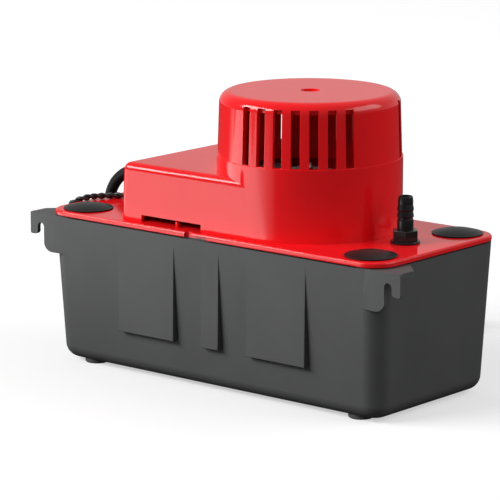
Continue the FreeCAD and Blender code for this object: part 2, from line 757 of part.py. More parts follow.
def inlet_plug(x, y):
    """A domed snap-in plug with a hollow skirt."""
    ring = PLUG_R - PLUG_LIP
    sphere_r = (ring ** 2 + PLUG_CROWN ** 2) / (2 * PLUG_CROWN)
    lip_z = DECK_Z + PLUG_LIP
    lip = rod(PLUG_R, DECK_Z, lip_z, x, y)
    lip = lip.makeFillet(PLUG_LIP * 0.5, level_edges(lip, lip_z))
    ball = Part.makeSphere(sphere_r, V(x, y, lip_z + PLUG_CROWN - sphere_r))
    crown = ball.common(rod(ring, lip_z - 0.2, lip_z + PLUG_CROWN + 1, x, y))
    skirt_z = RIM_Z - PLUG_SKIRT
    skirt = tube(INLET_R - 0.1, INLET_R - 0.1 - PLUG_WALL, skirt_z, DECK_Z, x, y)
    return join([lip, crown, skirt])


def hex_prism(across, z0, z1, x, y):
    """A hexagon with flats across X faces."""
    corner = across / math.sqrt(3)
    points = []
    for i in range(6):
        angle = math.radians(60 * i)
        points.append(V(x + corner * math.cos(angle), y + corner * math.sin(angle), z0))
    return prism(points, V(0, 0, z1 - z0))


def check_valve_body():
    """The black valve: thread, flange, hexagon, neck and three barbs over one bore."""
    flange_top = DECK_Z + VALVE_FLANGE
    hex_top = flange_top + HEX_HEIGHT
    neck_top = hex_top + NECK_HEIGHT
    tip_z = DECK_Z + VALVE_HEIGHT
    thread_z = DECK_Z - VALVE_THREAD
    profile = [(0, thread_z), (VALVE_THREAD_R - 0.6, thread_z), (VALVE_THREAD_R, thread_z + 0.6),
               (VALVE_THREAD_R, DECK_Z), (VALVE_FLANGE_R, DECK_Z),
               (VALVE_FLANGE_R, flange_top), (NECK_R + 0.8, flange_top), (NECK_R + 0.8, hex_top),
               (NECK_R, hex_top), (NECK_R, neck_top - 1.5), (BARB_WAIST, neck_top)]
    for i, radius in enumerate(BARB_R):
        low = neck_top + i * BARB_PITCH
        profile.append((radius, low + BARB_RISE))
        profile.append((min(radius - 0.3, BARB_WAIST + 0.1), low + BARB_PITCH))
    profile += [(VALVE_TIP_R, tip_z - 0.5), (VALVE_TIP_R - 0.4, tip_z), (0, tip_z)]
    body = turned(profile, OUTLET_X, OUTLET_Y)
    body = body.fuse(hex_prism(HEX_ACROSS, flange_top, hex_top, OUTLET_X, OUTLET_Y))
    seat_z = thread_z + VALVE_SEAT
    cuts = [
        rod(VALVE_INLET_R, thread_z - 1, seat_z + 1, OUTLET_X, OUTLET_Y),
        rod(VALVE_CHAMBER_R, seat_z, seat_z + VALVE_CHAMBER, OUTLET_X, OUTLET_Y),
        rod(VALVE_BORE, seat_z, tip_z + 1, OUTLET_X, OUTLET_Y),
    ]
    for i in range(3):
        a = math.radians(120 * i + 90)
        cuts.append(rod(FLUTE_R, seat_z + VALVE_CHAMBER - 3, seat_z + VALVE_CHAMBER + 3,
                        OUTLET_X + VALVE_BORE * math.cos(a), OUTLET_Y + VALVE_BORE * math.sin(a)))
    groove = tube(VALVE_THREAD_R + 1, VALVE_THREAD_R - 2 * SEAL_R - 0.05, DECK_Z - 2.2 * SEAL_R,
                  DECK_Z, OUTLET_X, OUTLET_Y)
    return body.removeSplitter().cut(cuts + [groove])


def valve_seal():
    """The O-ring in its groove under the valve's flange."""
    ring = Part.makeTorus(VALVE_THREAD_R - SEAL_R, SEAL_R)
    ring.translate(V(OUTLET_X, OUTLET_Y, DECK_Z - 1.1 * SEAL_R))
    return ring


def check_ball():
    """The ball over the valve's sharp-edged inlet."""
    seat_z = DECK_Z - VALVE_THREAD + VALVE_SEAT
    reach = BALL_R + BALL_GAP
    z = seat_z + math.sqrt(reach ** 2 - VALVE_INLET_R ** 2)
    return Part.makeSphere(BALL_R, V(OUTLET_X, OUTLET_Y, z))


def route_wire(points, largest=None):
    """Straight runs joined by tangent arcs, and the radii of the arcs."""
    points = [V(*p) for p in points]
    edges = []
    radii = []
    start = points[0]
    for before, corner, after in zip(points, points[1:], points[2:]):
        way_in = (corner - before).normalize()
        way_out = (after - corner).normalize()
        half = way_in.getAngle(way_out) / 2
        run = min((corner - before).Length, (after - corner).Length)
        trim = 0.45 * run
        if largest:
            trim = min(trim, largest * math.tan(half))
        radius = trim / math.tan(half)
        first = corner - way_in * trim
        last = corner + way_out * trim
        inward = (way_out - way_in).normalize()
        middle = corner + inward * (radius / math.cos(half) - radius)
        edges.append(Part.LineSegment(start, first).toShape())
        edges.append(Part.Arc(first, middle, last).toShape())
        start = last
        radii.append(round(radius, 1))
    edges.append(Part.LineSegment(start, points[-1]).toShape())
    return Part.Wire(edges), radii


def swept(points, radius, largest=None):
    """A round bar along a route."""
    wire, radii = route_wire(points, largest)
    way = V(*points[1]) - V(*points[0])
    ring = Part.Wire(Part.makeCircle(radius, V(*points[0]), way))
    return wire.makePipeShell([ring], True, False), wire.Length, radii


def discharge_pipe():
    """The pipe from the pump's outlet up into the lid."""
    top_z = DECK_Z - VALVE_THREAD - 2.5
    start_x = MOTOR_X + OUTLET_BOSS_START + 6
    route = [(start_x, PUMP_OUT_Y, PUMP_OUT_Z), (OUTLET_X - PIPE_LEAD, PUMP_OUT_Y, PUMP_OUT_Z),
             (OUTLET_X, OUTLET_Y, PUMP_OUT_Z + PIPE_RISE), (OUTLET_X, OUTLET_Y, top_z)]
    outer = swept(route, PIPE_R, PIPE_BEND)[0]
    inner = swept(route, PIPE_BORE, PIPE_BEND)[0]
    return outer.cut(inner)


def scroll_room():
    """The water space: arcs of growing radius, then a straight outlet past a blunt tongue."""
    z = CHAMBER_Z
    g = SCROLL_GROWTH
    centre = V(MOTOR_X, MOTOR_Y, z)
    steps = (V(-g, 0, 0), V(0, -g, 0), V(g, 0, 0))
    edges = []
    radius = SCROLL_R
    tongue = math.radians(TONGUE_ANGLE)
    for quarter in range(4):
        begin = math.pi / 2 * (quarter - 1) + (tongue if quarter == 0 else 0)
        end = math.pi / 2 * quarter
        points = []
        for a in (begin, (begin + end) / 2, end):
            points.append(centre + V(math.cos(a), math.sin(a), 0) * radius)
        if quarter == 0:
            first = points[0]
        edges.append(Part.Arc(*points).toShape())
        last = points[2]
        if quarter < 3:
            centre = centre + steps[quarter]
            radius += g
    end_x = MOTOR_X + OUTLET_BOSS_START
    tongue_y = MOTOR_Y - SCROLL_R - TONGUE_THICK / 2
    corners = [last, V(end_x, last.y, z), V(end_x, tongue_y, z),
               V(first.x - TONGUE_THICK, tongue_y, z), first]
    for a, b in zip(corners, corners[1:]):
        edges.append(Part.LineSegment(a, b).toShape())
    face = Part.Face(Part.Wire(edges))
    return face.extrude(V(0, 0, CHAMBER))


def lug_places(z):
    """Where the pump's three screws stand."""
    places = []
    for angle in PUMP_LUG_ANGLES:
        a = math.radians(angle)
        places.append(V(MOTOR_X + PUMP_LUG_OUT * math.cos(a),
                        MOTOR_Y + PUMP_LUG_OUT * math.sin(a), z))
    return places


def pump_casing():
    """Casing, column and top flange in one moulding."""
    flange_z = RIM_Z - COLUMN_FLANGE
    parts = [
        rod(CASING_R, CHAMBER_Z, CASING_TOP_Z, MOTOR_X, MOTOR_Y),
        rod(COLUMN_R, CASING_ROOF_Z, RIM_Z, MOTOR_X, MOTOR_Y),
        rod(COLUMN_FLANGE_R, flange_z, RIM_Z, MOTOR_X, MOTOR_Y),
        rod_along(OUTLET_BOSS_R, V(MOTOR_X + 5, PUMP_OUT_Y, PUMP_OUT_Z),
                  V(MOTOR_X + OUTLET_BOSS_END, PUMP_OUT_Y, PUMP_OUT_Z)),
    ]
    parts += [rod(PUMP_LUG_R, CHAMBER_Z, CASING_TOP_Z, p.x, p.y) for p in lug_places(0)]
    for angle in (0, 90, 180, 270):
        rib = block(COLUMN_R - 2, COLUMN_R + COLUMN_RIB_OUT, -1.2, 1.2,
                    flange_z - COLUMN_RIB, flange_z + 1)
        slope_x = COLUMN_R + COLUMN_RIB_OUT + 1
        slope_z = flange_z - COLUMN_RIB - 1
        slope = prism([V(slope_x, -2, slope_z), V(slope_x, -2, flange_z),
                       V(COLUMN_R, -2, slope_z)], V(0, 4, 0))
        rib = rib.cut(slope)
        rib.rotate(V(0, 0, 0), V(0, 0, 1), angle)
        rib.translate(V(MOTOR_X, MOTOR_Y, 0))
        parts.append(rib)
    for x, y in bolt_places():
        parts.append(rod(POST_R, flange_z - 6, RIM_Z, x, y))
    body = join(parts)
    under = rod(2 * CASING_R, 0, CHAMBER_Z, MOTOR_X, MOTOR_Y)
    cuts = [
        under,
        scroll_room(),
        rod(COLUMN_BORE, CASING_TOP_Z, RIM_Z + 1, MOTOR_X, MOTOR_Y),
        rod(SHAFT_R + 0.6, CASING_ROOF_Z - 1, CASING_TOP_Z + 1, MOTOR_X, MOTOR_Y),
        rod_along(CASING_BORE, V(MOTOR_X + OUTLET_BOSS_START - 1, PUMP_OUT_Y, PUMP_OUT_Z),
                  V(MOTOR_X + OUTLET_BOSS_END, PUMP_OUT_Y, PUMP_OUT_Z)),
        rod_along(PIPE_R + PIPE_GAP, V(MOTOR_X + OUTLET_BOSS_START + 6, PUMP_OUT_Y, PUMP_OUT_Z),
                  V(MOTOR_X + OUTLET_BOSS_END + 1, PUMP_OUT_Y, PUMP_OUT_Z)),
    ]
    cuts += [rod(BOLT_R + BOLT_GAP, flange_z - 4, RIM_Z + 1, x, y) for x, y in bolt_places()]
    cuts += [rod(PUMP_SCREW_R, CHAMBER_Z - 1, CASING_TOP_Z - 2, p.x, p.y) for p in lug_places(0)]
    window_z = (CASING_TOP_Z + flange_z) / 2 - COLUMN_WINDOW_HEIGHT
    for turn in (0, 90):
        window = block(-COLUMN_R - 1, COLUMN_R + 1, -COLUMN_WINDOW / 2, COLUMN_WINDOW / 2,
                       window_z, window_z + COLUMN_WINDOW_HEIGHT)
        window.rotate(V(0, 0, 0), V(0, 0, 1), 45 + turn)
        window.translate(V(MOTOR_X, MOTOR_Y, 0))
        cuts.append(window)
    return body.cut(cuts)


def pump_plate():
    """The lower plate with the inlet eye and three short feet."""
    parts = [
        rod(CASING_R, PUMP_Z, CHAMBER_Z, MOTOR_X, MOTOR_Y),
        block(MOTOR_X + 5, MOTOR_X + OUTLET_BOSS_START, PUMP_OUT_Y - OUTLET_BOSS_R + 1,
              PUMP_OUT_Y + OUTLET_BOSS_R - 1, PUMP_Z, CHAMBER_Z),
    ]
    parts += [rod(PUMP_LUG_R, PUMP_Z, CHAMBER_Z, p.x, p.y) for p in lug_places(0)]
    for angle in PUMP_LUG_ANGLES:
        a = math.radians(angle + 40)
        parts.append(rod(2.5, FLOOR_Z + PUMP_FOOT_GAP, PUMP_Z + 1,
                         MOTOR_X + 26 * math.cos(a), MOTOR_Y + 26 * math.sin(a)))
    cuts = [rod(EYE_R, PUMP_Z - 1, CHAMBER_Z + 1, MOTOR_X, MOTOR_Y),
            cone(EYE_R + 2.5, EYE_R, PUMP_Z - 0.01, PUMP_Z + 1.5, MOTOR_X, MOTOR_Y)]
    cuts += [rod(PUMP_SCREW_R + BOLT_GAP, PUMP_Z - 1, CHAMBER_Z + 1, p.x, p.y)
             for p in lug_places(0)]
    return join(parts).cut(cuts)


def pump_screws():
    """Three screws that hold the lower plate."""
    screws = []
    for p in lug_places(0):
        head = rod(PUMP_SCREW_HEAD_R, PUMP_Z - PUMP_SCREW_HEAD, PUMP_Z, p.x, p.y)
        shank = rod(PUMP_SCREW_R, PUMP_Z - 1, CASING_TOP_Z - 3, p.x, p.y)
        screws.append(head.fuse(shank).removeSplitter())
    return screws


def vane(angle, low, high):
    """One swept vane of the impeller."""
    def at(radius, degrees):
        a = math.radians(degrees)
        return V(radius * math.cos(a), radius * math.sin(a), low)
    inner = IMPELLER_HUB_R - 0.5
    outer = IMPELLER_R - 0.3
    middle = (inner + outer) / 2
    lead = [at(inner, angle), at(middle, angle - VANE_SWEEP * 0.42), at(outer, angle - VANE_SWEEP)]
    trail = [at(inner, angle + 2.5 * VANE_SPREAD), at(middle, angle - VANE_SWEEP * 0.42 + VANE_SPREAD),
             at(outer, angle - VANE_SWEEP + VANE_SPREAD)]
    wire = Part.Wire([
        Part.Arc(*lead).toShape(),
        Part.LineSegment(lead[2], trail[2]).toShape(),
        Part.Arc(trail[2], trail[1], trail[0]).toShape(),
        Part.LineSegment(trail[0], lead[0]).toShape(),
    ])
    return Part.Face(wire).extrude(V(0, 0, high - low))


def impeller():
    """A half-open impeller, its vanes looking down at the eye."""
    top = CASING_ROOF_Z - IMPELLER_ROOF_GAP
    disc_z = top - IMPELLER_DISC
    low = disc_z - VANE_HEIGHT
    parts = [rod(IMPELLER_R, disc_z, top), rod(IMPELLER_HUB_R, low, top)]
    parts += [vane(i * 360.0 / VANE_COUNT, low, disc_z + 0.2) for i in range(VANE_COUNT)]
    body = join(parts).cut(rod(SHAFT_R, low - 1, top + 1))
    body.translate(V(MOTOR_X, MOTOR_Y, 0))
    return body


def impeller_low():
    """Lowest level of the impeller."""
    return CASING_ROOF_Z - IMPELLER_ROOF_GAP - IMPELLER_DISC - VANE_HEIGHT


def impeller_nut():
    """The round nut under the impeller."""
    top = impeller_low()
    nut = hex_prism(2 * NUT_R * 0.87, top - NUT_HEIGHT, top, MOTOR_X, MOTOR_Y)
    return nut.cut(rod(SHAFT_R, top - NUT_HEIGHT - 1, top + 1, MOTOR_X, MOTOR_Y))


def motor_shaft():
    """The steel shaft from the nut to the screwdriver slot at its top."""
    low = impeller_low() - NUT_HEIGHT - 0.8
    top = TOP_PLATE_Z + (BRACKET_PLATE + BEARING_LENGTH) / 2 + SHAFT_TOP_OVER
    body = rod(SHAFT_R, low, top, MOTOR_X, MOTOR_Y)
    body = body.makeChamfer(0.5, level_edges(body, top) + level_edges(body, low))
    slot = block(MOTOR_X - SHAFT_R - 1, MOTOR_X + SHAFT_R + 1, MOTOR_Y - DRIVER_SLOT / 2,
                 MOTOR_Y + DRIVER_SLOT / 2, top - 1.5, top + 1)
    return body.cut(slot)


def slinger():
    """A rubber disc that throws water off the shaft before it reaches the motor."""
    z = RIM_Z - 1
    disc = rod(SLINGER_R, z, z + SLINGER_THICK, MOTOR_X, MOTOR_Y)
    return disc.cut(rod(SHAFT_R, z - 1, z + SLINGER_THICK + 1, MOTOR_X, MOTOR_Y))


def rotor_core():
    """The iron of the rotor."""
    radius = STATOR_BORE - AIR_GAP
    return tube(radius, SHAFT_R, STACK_Z, STACK_TOP_Z, MOTOR_X, MOTOR_Y)


def rotor_rings():
    """The two cast end rings of the rotor."""
    radius = STATOR_BORE - AIR_GAP - END_RING_INSET
    inner = radius * 0.62
    return [tube(radius, inner, STACK_Z - END_RING, STACK_Z, MOTOR_X, MOTOR_Y),
            tube(radius, inner, STACK_TOP_Z, STACK_TOP_Z + END_RING, MOTOR_X, MOTOR_Y)]


def stator_stack():
    """The stack of iron sheets, with the bore, the coil window and four bolt holes."""
    body = block(MOTOR_X - STACK_LEFT, MOTOR_X + STACK_RIGHT, MOTOR_Y - STACK_SIDE,
                 MOTOR_Y + STACK_SIDE, STACK_Z, STACK_TOP_Z)
    window = block(MOTOR_X - STACK_LEFT + STACK_LEG, MOTOR_X - WINDOW_RIGHT,
                   MOTOR_Y - WINDOW_SIDE, MOTOR_Y + WINDOW_SIDE, STACK_Z - 1, STACK_TOP_Z + 1)
    bore = rod(STATOR_BORE, STACK_Z - 1, STACK_TOP_Z + 1, MOTOR_X, MOTOR_Y)
    holes = [rod(BOLT_R + BOLT_GAP, STACK_Z - 1, STACK_TOP_Z + 1, x, y) for x, y in bolt_places()]
    return body.cut([window, bore] + holes)


def bobbin_half():
    """Half sizes of the bobbin's barrel along X and Z, about the coil leg."""
    return (STACK_LEG / 2 + BOBBIN_GAP + BOBBIN_WALL, STACK_THICK / 2 + BOBBIN_GAP + BOBBIN_WALL)


def coil_middle():
    """Middle of the coil leg."""
    return V(MOTOR_X - STACK_LEFT + STACK_LEG / 2, MOTOR_Y, STACK_Z + STACK_THICK / 2)


def around_leg(half_x, half_y, half_z):
    """A box about the middle of the coil leg."""
    m = coil_middle()
    return block(m.x - half_x, m.x + half_x, m.y - half_y, m.y + half_y,
                 m.z - half_z, m.z + half_z)


def coil_bobbin():
    """The moulded former of the coil: a barrel with two flanges."""
    bx, bz = bobbin_half()
    ends = WINDOW_SIDE - 0.4
    barrel = around_leg(bx, ends, bz)
    flange = around_leg(bx + COIL_BUILD, ends, bz + COIL_BUILD)
    room = around_leg(bx + COIL_BUILD + 1, ends - BOBBIN_FLANGE, bz + COIL_BUILD + 1)
    body = flange.cut(room).fuse(barrel).removeSplitter()
    hole = around_leg(STACK_LEG / 2 + BOBBIN_GAP, WINDOW_SIDE + 1, STACK_THICK / 2 + BOBBIN_GAP)
    return body.cut(hole)


def motor_coil():
    """The taped winding between the flanges."""
    bx, bz = bobbin_half()
    ends = WINDOW_SIDE - 0.4 - BOBBIN_FLANGE
    build = COIL_BUILD - COIL_INSET
    outer = around_leg(bx + build, ends, bz + build)
    along = [e for e in outer.Edges if abs(e.Vertexes[0].Point.y - e.Vertexes[1].Point.y) > 1]
    outer = outer.makeFillet(4.0, along)
    return outer.cut(around_leg(bx, ends + 1, bz))


def bearing_bracket(plate_z, leg_z):
    """A bracket: plate, four legs to the stack and a boss round the bearing."""
    side = BRACKET_SIDE
    plate = block(MOTOR_X - side, MOTOR_X + side, MOTOR_Y - side, MOTOR_Y + side,
                  plate_z, plate_z + BRACKET_PLATE)
    upright = [e for e in plate.Edges if abs(e.Vertexes[0].Point.z - e.Vertexes[1].Point.z) > 1]
    plate = plate.makeFillet(4.0, upright)
    parts = [plate]
    for x, y in bolt_places():
        parts.append(rod(BRACKET_LEG_R, leg_z, leg_z + BRACKET_LEG, x, y))
    boss_z = plate_z + BRACKET_PLATE / 2 - BEARING_LENGTH / 2
    parts.append(rod(BEARING_BOSS_R, boss_z, boss_z + BEARING_LENGTH, MOTOR_X, MOTOR_Y))
    body = join(parts)
    cuts = [rod(BEARING_R, boss_z - 1, boss_z + BEARING_LENGTH + 1, MOTOR_X, MOTOR_Y)]
    cuts += [rod(BOLT_R + BOLT_GAP, plate_z - 10, plate_z + 20, x, y) for x, y in bolt_places()]
    for turn in (0, 90, 180, 270):
        slot = block(BEARING_BOSS_R + 2, BEARING_BOSS_R + 7, -5, 5, plate_z - 1,
                     plate_z + BRACKET_PLATE + 1)
        slot.rotate(V(0, 0, 0), V(0, 0, 1), turn)
        slot.translate(V(MOTOR_X, MOTOR_Y, 0))
        cuts.append(slot)
    return body.cut(cuts)


def bearing(plate_z):
    """A plain bronze bush in a bracket."""
    z = plate_z + BRACKET_PLATE / 2 - BEARING_LENGTH / 2
    return tube(BEARING_R, SHAFT_R + BEARING_FIT, z, z + BEARING_LENGTH, MOTOR_X, MOTOR_Y)


def motor_bolts():
    """Four long bolts through the brackets, the stack and the lid."""
    bolts = []
    for x, y in bolt_places():
        shank = rod(BOLT_R, RIM_Z - COLUMN_FLANGE - 3.5, MOTOR_TOP_Z, x, y)
        head = rod(BOLT_HEAD_R, MOTOR_TOP_Z, MOTOR_TOP_Z + BOLT_HEAD, x, y)
        slot = block(x - BOLT_HEAD_R - 1, x + BOLT_HEAD_R + 1, y - 0.5, y + 0.5,
                     MOTOR_TOP_Z + BOLT_HEAD - 1.1, MOTOR_TOP_Z + BOLT_HEAD + 1)
        bolts.append(shank.fuse(head).removeSplitter().cut(slot))
    return bolts


def hanger_screw_places():
    """Where the float hanger is screwed to the lid."""
    return [(ARM_PIVOT_X + 4, -HANGER_SCREW_Y), (ARM_PIVOT_X + 4, HANGER_SCREW_Y)]


def float_hanger():
    """The bracket under the lid whose two ears hold the float pin."""
    base_z = RIM_Z - HANGER_BASE
    right = ARM_PIVOT_X + HANGER_LENGTH - 4.5
    base = block(ARM_PIVOT_X - 4.5, right, -HANGER_WIDTH / 2, HANGER_WIDTH / 2, base_z, RIM_Z)
    parts = [base]
    for side in (-1, 1):
        inner = side * (ARM_WIDTH / 2 + EAR_GAP)
        outer = inner + side * EAR_PLATE
        ear = block(ARM_PIVOT_X - EAR_R, ARM_PIVOT_X + EAR_R, inner, outer, ARM_Z, base_z + 1)
        lobe = rod_along(EAR_R, V(ARM_PIVOT_X, inner, ARM_Z), V(ARM_PIVOT_X, outer, ARM_Z))
        parts += [ear, lobe]
    body = join(parts)
    reach = ARM_WIDTH / 2 + EAR_GAP + EAR_PLATE + 1
    cuts = [rod_along(PIN_R, V(ARM_PIVOT_X, -reach, ARM_Z), V(ARM_PIVOT_X, reach, ARM_Z))]
    cuts += [rod(SMALL_SCREW_R + BOLT_GAP, base_z - 1, RIM_Z + 1, x, y)
             for x, y in hanger_screw_places()]
    return body.cut(cuts)


def hanger_screws():
    """Two screws up through the hanger into the lid."""
    screws = []
    base_z = RIM_Z - HANGER_BASE
    for x, y in hanger_screw_places():
        head = rod(SMALL_HEAD_R, base_z - SMALL_HEAD, base_z, x, y)
        shank = rod(SMALL_SCREW_R, base_z - 1, DECK_Z + 1.5, x, y)
        screws.append(head.fuse(shank).removeSplitter())
    return screws


def float_pin():
    """The pin through the hanger's ears."""
    reach = ARM_WIDTH / 2 + EAR_GAP + EAR_PLATE + 0.8
    return rod_along(PIN_R, V(ARM_PIVOT_X, -reach, ARM_Z), V(ARM_PIVOT_X, reach, ARM_Z))


def float_place():
    """Middle of the float at its lowest."""
    a = math.radians(ARM_DROOP)
    return V(ARM_PIVOT_X - ARM_REACH * math.cos(a), 0, ARM_Z - ARM_REACH * math.sin(a))


def float_arm():
    """The arm: hub, a strip to the float's top and the finger under the push rod."""
    half = ARM_WIDTH / 2
    middle = float_place()
    top_z = middle.z + FLOAT_HEIGHT / 2
    pivot = V(ARM_PIVOT_X, 0, ARM_Z)
    hub = rod_along(ARM_HUB_R, V(ARM_PIVOT_X, -half, ARM_Z), V(ARM_PIVOT_X, half, ARM_Z))
    pad_x = middle.x + FLOAT_LENGTH / 2 - FLOAT_ROUND
    pad_end = middle.x - 14
    strip = prism([
        pivot + V(-1.3, -half, 1.0),
        pivot + V(1.3, -half, -1.0),
        V(pad_x, -half, top_z),
        V(pad_end, -half, top_z),
        V(pad_end, -half, top_z + ARM_THICK),
        V(pad_x - 3, -half, top_z + ARM_THICK),
    ], V(0, ARM_WIDTH, 0))
    a = math.radians(FINGER_DROOP)
    along = V(-math.cos(a), 0, -math.sin(a))
    under = V(math.sin(a), 0, -math.cos(a)) * ARM_THICK
    width = V(0, ARM_WIDTH * 0.75, 0)
    root = pivot - width * 0.5
    finger = prism([root, root + along * FINGER_REACH, root + along * FINGER_REACH + under,
                    root + under], width)
    body = join([hub, strip, finger])
    reach = half + 1
    hole = rod_along(PIN_R + PIN_FIT, pivot - V(0, reach, 0), pivot + V(0, reach, 0))
    return body.cut(hole)


def float_block():
    """The sealed float."""
    m = float_place()
    body = block(m.x - FLOAT_LENGTH / 2, m.x + FLOAT_LENGTH / 2, -FLOAT_DEPTH / 2,
                 FLOAT_DEPTH / 2, m.z - FLOAT_HEIGHT / 2, m.z + FLOAT_HEIGHT / 2)
    return body.makeFillet(FLOAT_ROUND, body.Edges)


def rod_foot_z(droop):
    """Middle of the push rod's round foot when the finger has a given droop."""
    a = math.radians(droop)
    return ARM_Z + (ROD_R + ROD_GAP - ROD_OFFSET * math.sin(a)) / math.cos(a)


def rod_travel():
    """How far the arm's full swing lifts the push rod."""
    return rod_foot_z(FINGER_DROOP - ARM_SWING) - rod_foot_z(FINGER_DROOP)


def rod_head_z():
    """Underside of the push rod's head at rest."""
    return DECK_Z + GUIDE_ABOVE + ROD_GAP


def push_rod():
    """The push rod: round foot, shank and a disc head under both levers."""
    foot_z = rod_foot_z(FINGER_DROOP)
    head_z = rod_head_z()
    foot = Part.makeSphere(ROD_R, V(ROD_X, 0, foot_z))
    shank = rod(ROD_R, foot_z, head_z + 0.5, ROD_X, 0)
    head = rod(ROD_HEAD_R, head_z, head_z + ROD_HEAD, ROD_X, 0)
    return join([foot, shank, head])


def lever_line(name):
    """Hinge point and slope of a switch lever at rest."""
    return V(HINGE_X, SWITCH_Y[name], HINGE_Z), math.radians(LEVER_REST[name])


def switch_case(name):
    """A snap switch's case with hinge ears, button well and two fixing holes."""
    y = SWITCH_Y[name]
    half = SWITCH_THICK / 2
    body = block(CASE_X, CASE_X + SWITCH_LENGTH, y - half, y + half, CASE_Z,
                 CASE_Z + SWITCH_HEIGHT)
    outline = [e for e in body.Edges if abs(e.Vertexes[0].Point.y - e.Vertexes[1].Point.y) > 1]
    body = body.makeFillet(1.0, outline)
    parts = [body]
    for side in (-1, 1):
        inner = y + side * (LEVER_WIDTH / 2 + CASE_EAR_GAP)
        outer = inner + side * CASE_EAR
        parts.append(block(HINGE_X - 1.8, HINGE_X + 1.8, inner, outer, HINGE_Z, CASE_Z + 1))
        parts.append(rod_along(1.8, V(HINGE_X, inner, HINGE_Z), V(HINGE_X, outer, HINGE_Z)))
    case = join(parts)
    button_x = HINGE_X + BUTTON_OUT
    cuts = [rod(BUTTON_R + BUTTON_FIT, CASE_Z - 1, CASE_Z + BUTTON_WELL, button_x, y)]
    reach = LEVER_WIDTH / 2 + CASE_EAR_GAP + CASE_EAR + 1
    cuts.append(rod_along(LEVER_PIN_R, V(HINGE_X, y - reach, HINGE_Z), V(HINGE_X, y + reach, HINGE_Z)))
    for x, z in case_holes():
        cuts.append(rod_along(CASE_HOLE_R, V(x, y - half - 1, z), V(x, y + half + 1, z)))
    return case.cut(cuts)


def case_holes():
    """The two fixing holes of a switch, seen from the front."""
    left = CASE_X + (SWITCH_LENGTH - CASE_HOLE_SPAN) / 2
    low = CASE_Z + CASE_HOLE_RISE
    return [(left, low + 5.5), (left + CASE_HOLE_SPAN, low + 5.5)]


def switch_lever(name):
    """A thin lever on its hinge, drooping a little at rest."""
    pivot, slope = lever_line(name)
    half = LEVER_WIDTH / 2
    hub = rod_along(LEVER_HUB_R, pivot - V(0, half, 0), pivot + V(0, half, 0))
    strip = block(pivot.x, pivot.x + LEVER_REACH, pivot.y - half, pivot.y + half,
                  pivot.z - LEVER_THICK / 2, pivot.z + LEVER_THICK / 2)
    strip.rotate(pivot, V(0, 1, 0), math.degrees(slope))
    body = join([hub, strip])
    hole = rod_along(LEVER_PIN_R + LEVER_PIN_FIT, pivot - V(0, half + 1, 0),
                     pivot + V(0, half + 1, 0))
    return body.cut(hole)


def lever_pins():
    """The two small hinge pins of the levers."""
    reach = LEVER_WIDTH / 2 + CASE_EAR_GAP + CASE_EAR
    pins = []
    for name in SWITCH_Y:
        pivot = lever_line(name)[0]
        pins.append(rod_along(LEVER_PIN_R, pivot - V(0, reach, 0), pivot + V(0, reach, 0)))
    return pins


def button_rest_z(name):
    """Lowest point of a switch button at rest, just above its lever."""
    pivot, slope = lever_line(name)
    near = BUTTON_OUT - BUTTON_R
    top = pivot.z - near * math.tan(slope) + LEVER_THICK / 2 / math.cos(slope)
    return top + BUTTON_GAP


def switch_button(name):
    """The button that the lever pushes up into the case."""
    y = SWITCH_Y[name]
    x = HINGE_X + BUTTON_OUT
    low = button_rest_z(name)
    body = rod(BUTTON_R, low, CASE_Z + BUTTON_IN_CASE, x, y)
    return body.makeFillet(0.5, level_edges(body, low))


def frame_y():
    """Front face of the switch frame's plate."""
    return SWITCH_SPREAD + SWITCH_THICK / 2


def frame_screw_places():
    """Where the switch frame is screwed down."""
    y = frame_y() + FRAME_PLATE + FRAME_FOOT / 2
    left = CASE_X + 4
    return [(left, y), (left + SWITCH_LENGTH - 8, y)]


def switch_frame():
    """The folded steel frame that carries both switches."""
    y = frame_y()
    left = CASE_X
    right = CASE_X + SWITCH_LENGTH + FRAME_OVER
    plate = block(left, right, y, y + FRAME_PLATE, DECK_Z, CASE_Z + SWITCH_HEIGHT)
    foot = block(left, right, y, y + FRAME_PLATE + FRAME_FOOT, DECK_Z, DECK_Z + FRAME_PLATE)
    body = join([plate, foot])
    cuts = [rod_along(SMALL_SCREW_R + BOLT_GAP, V(x, y - 1, z), V(x, y + FRAME_PLATE + 1, z))
            for x, z in case_holes()]
    cuts += [rod(SMALL_SCREW_R + BOLT_GAP, DECK_Z - 1, DECK_Z + FRAME_PLATE + 1, x, y0)
             for x, y0 in frame_screw_places()]
    return body.cut(cuts)


def switch_screws():
    """Two long screws through both switches and the frame."""
    screws = []
    start = -SWITCH_SPREAD - SWITCH_THICK / 2
    end = frame_y() + FRAME_PLATE
    for x, z in case_holes():
        shank = rod_along(SMALL_SCREW_R, V(x, start - 1, z), V(x, end + 1, z))
        head = rod_along(SMALL_HEAD_R, V(x, start - SMALL_HEAD, z), V(x, start, z))
        nut = rod_along(SMALL_HEAD_R, V(x, end, z), V(x, end + SMALL_HEAD, z))
        screws.append(join([shank, head, nut]))
    return screws


def frame_screws():
    """Two screws that hold the frame's foot to the lid."""
    screws = []
    top = DECK_Z + FRAME_PLATE
    for x, y in frame_screw_places():
        head = rod(SMALL_HEAD_R, top, top + SMALL_HEAD, x, y)
        shank = rod(SMALL_SCREW_R, RIM_Z - 2, top + 1, x, y)
        screws.append(head.fuse(shank).removeSplitter())
    return screws


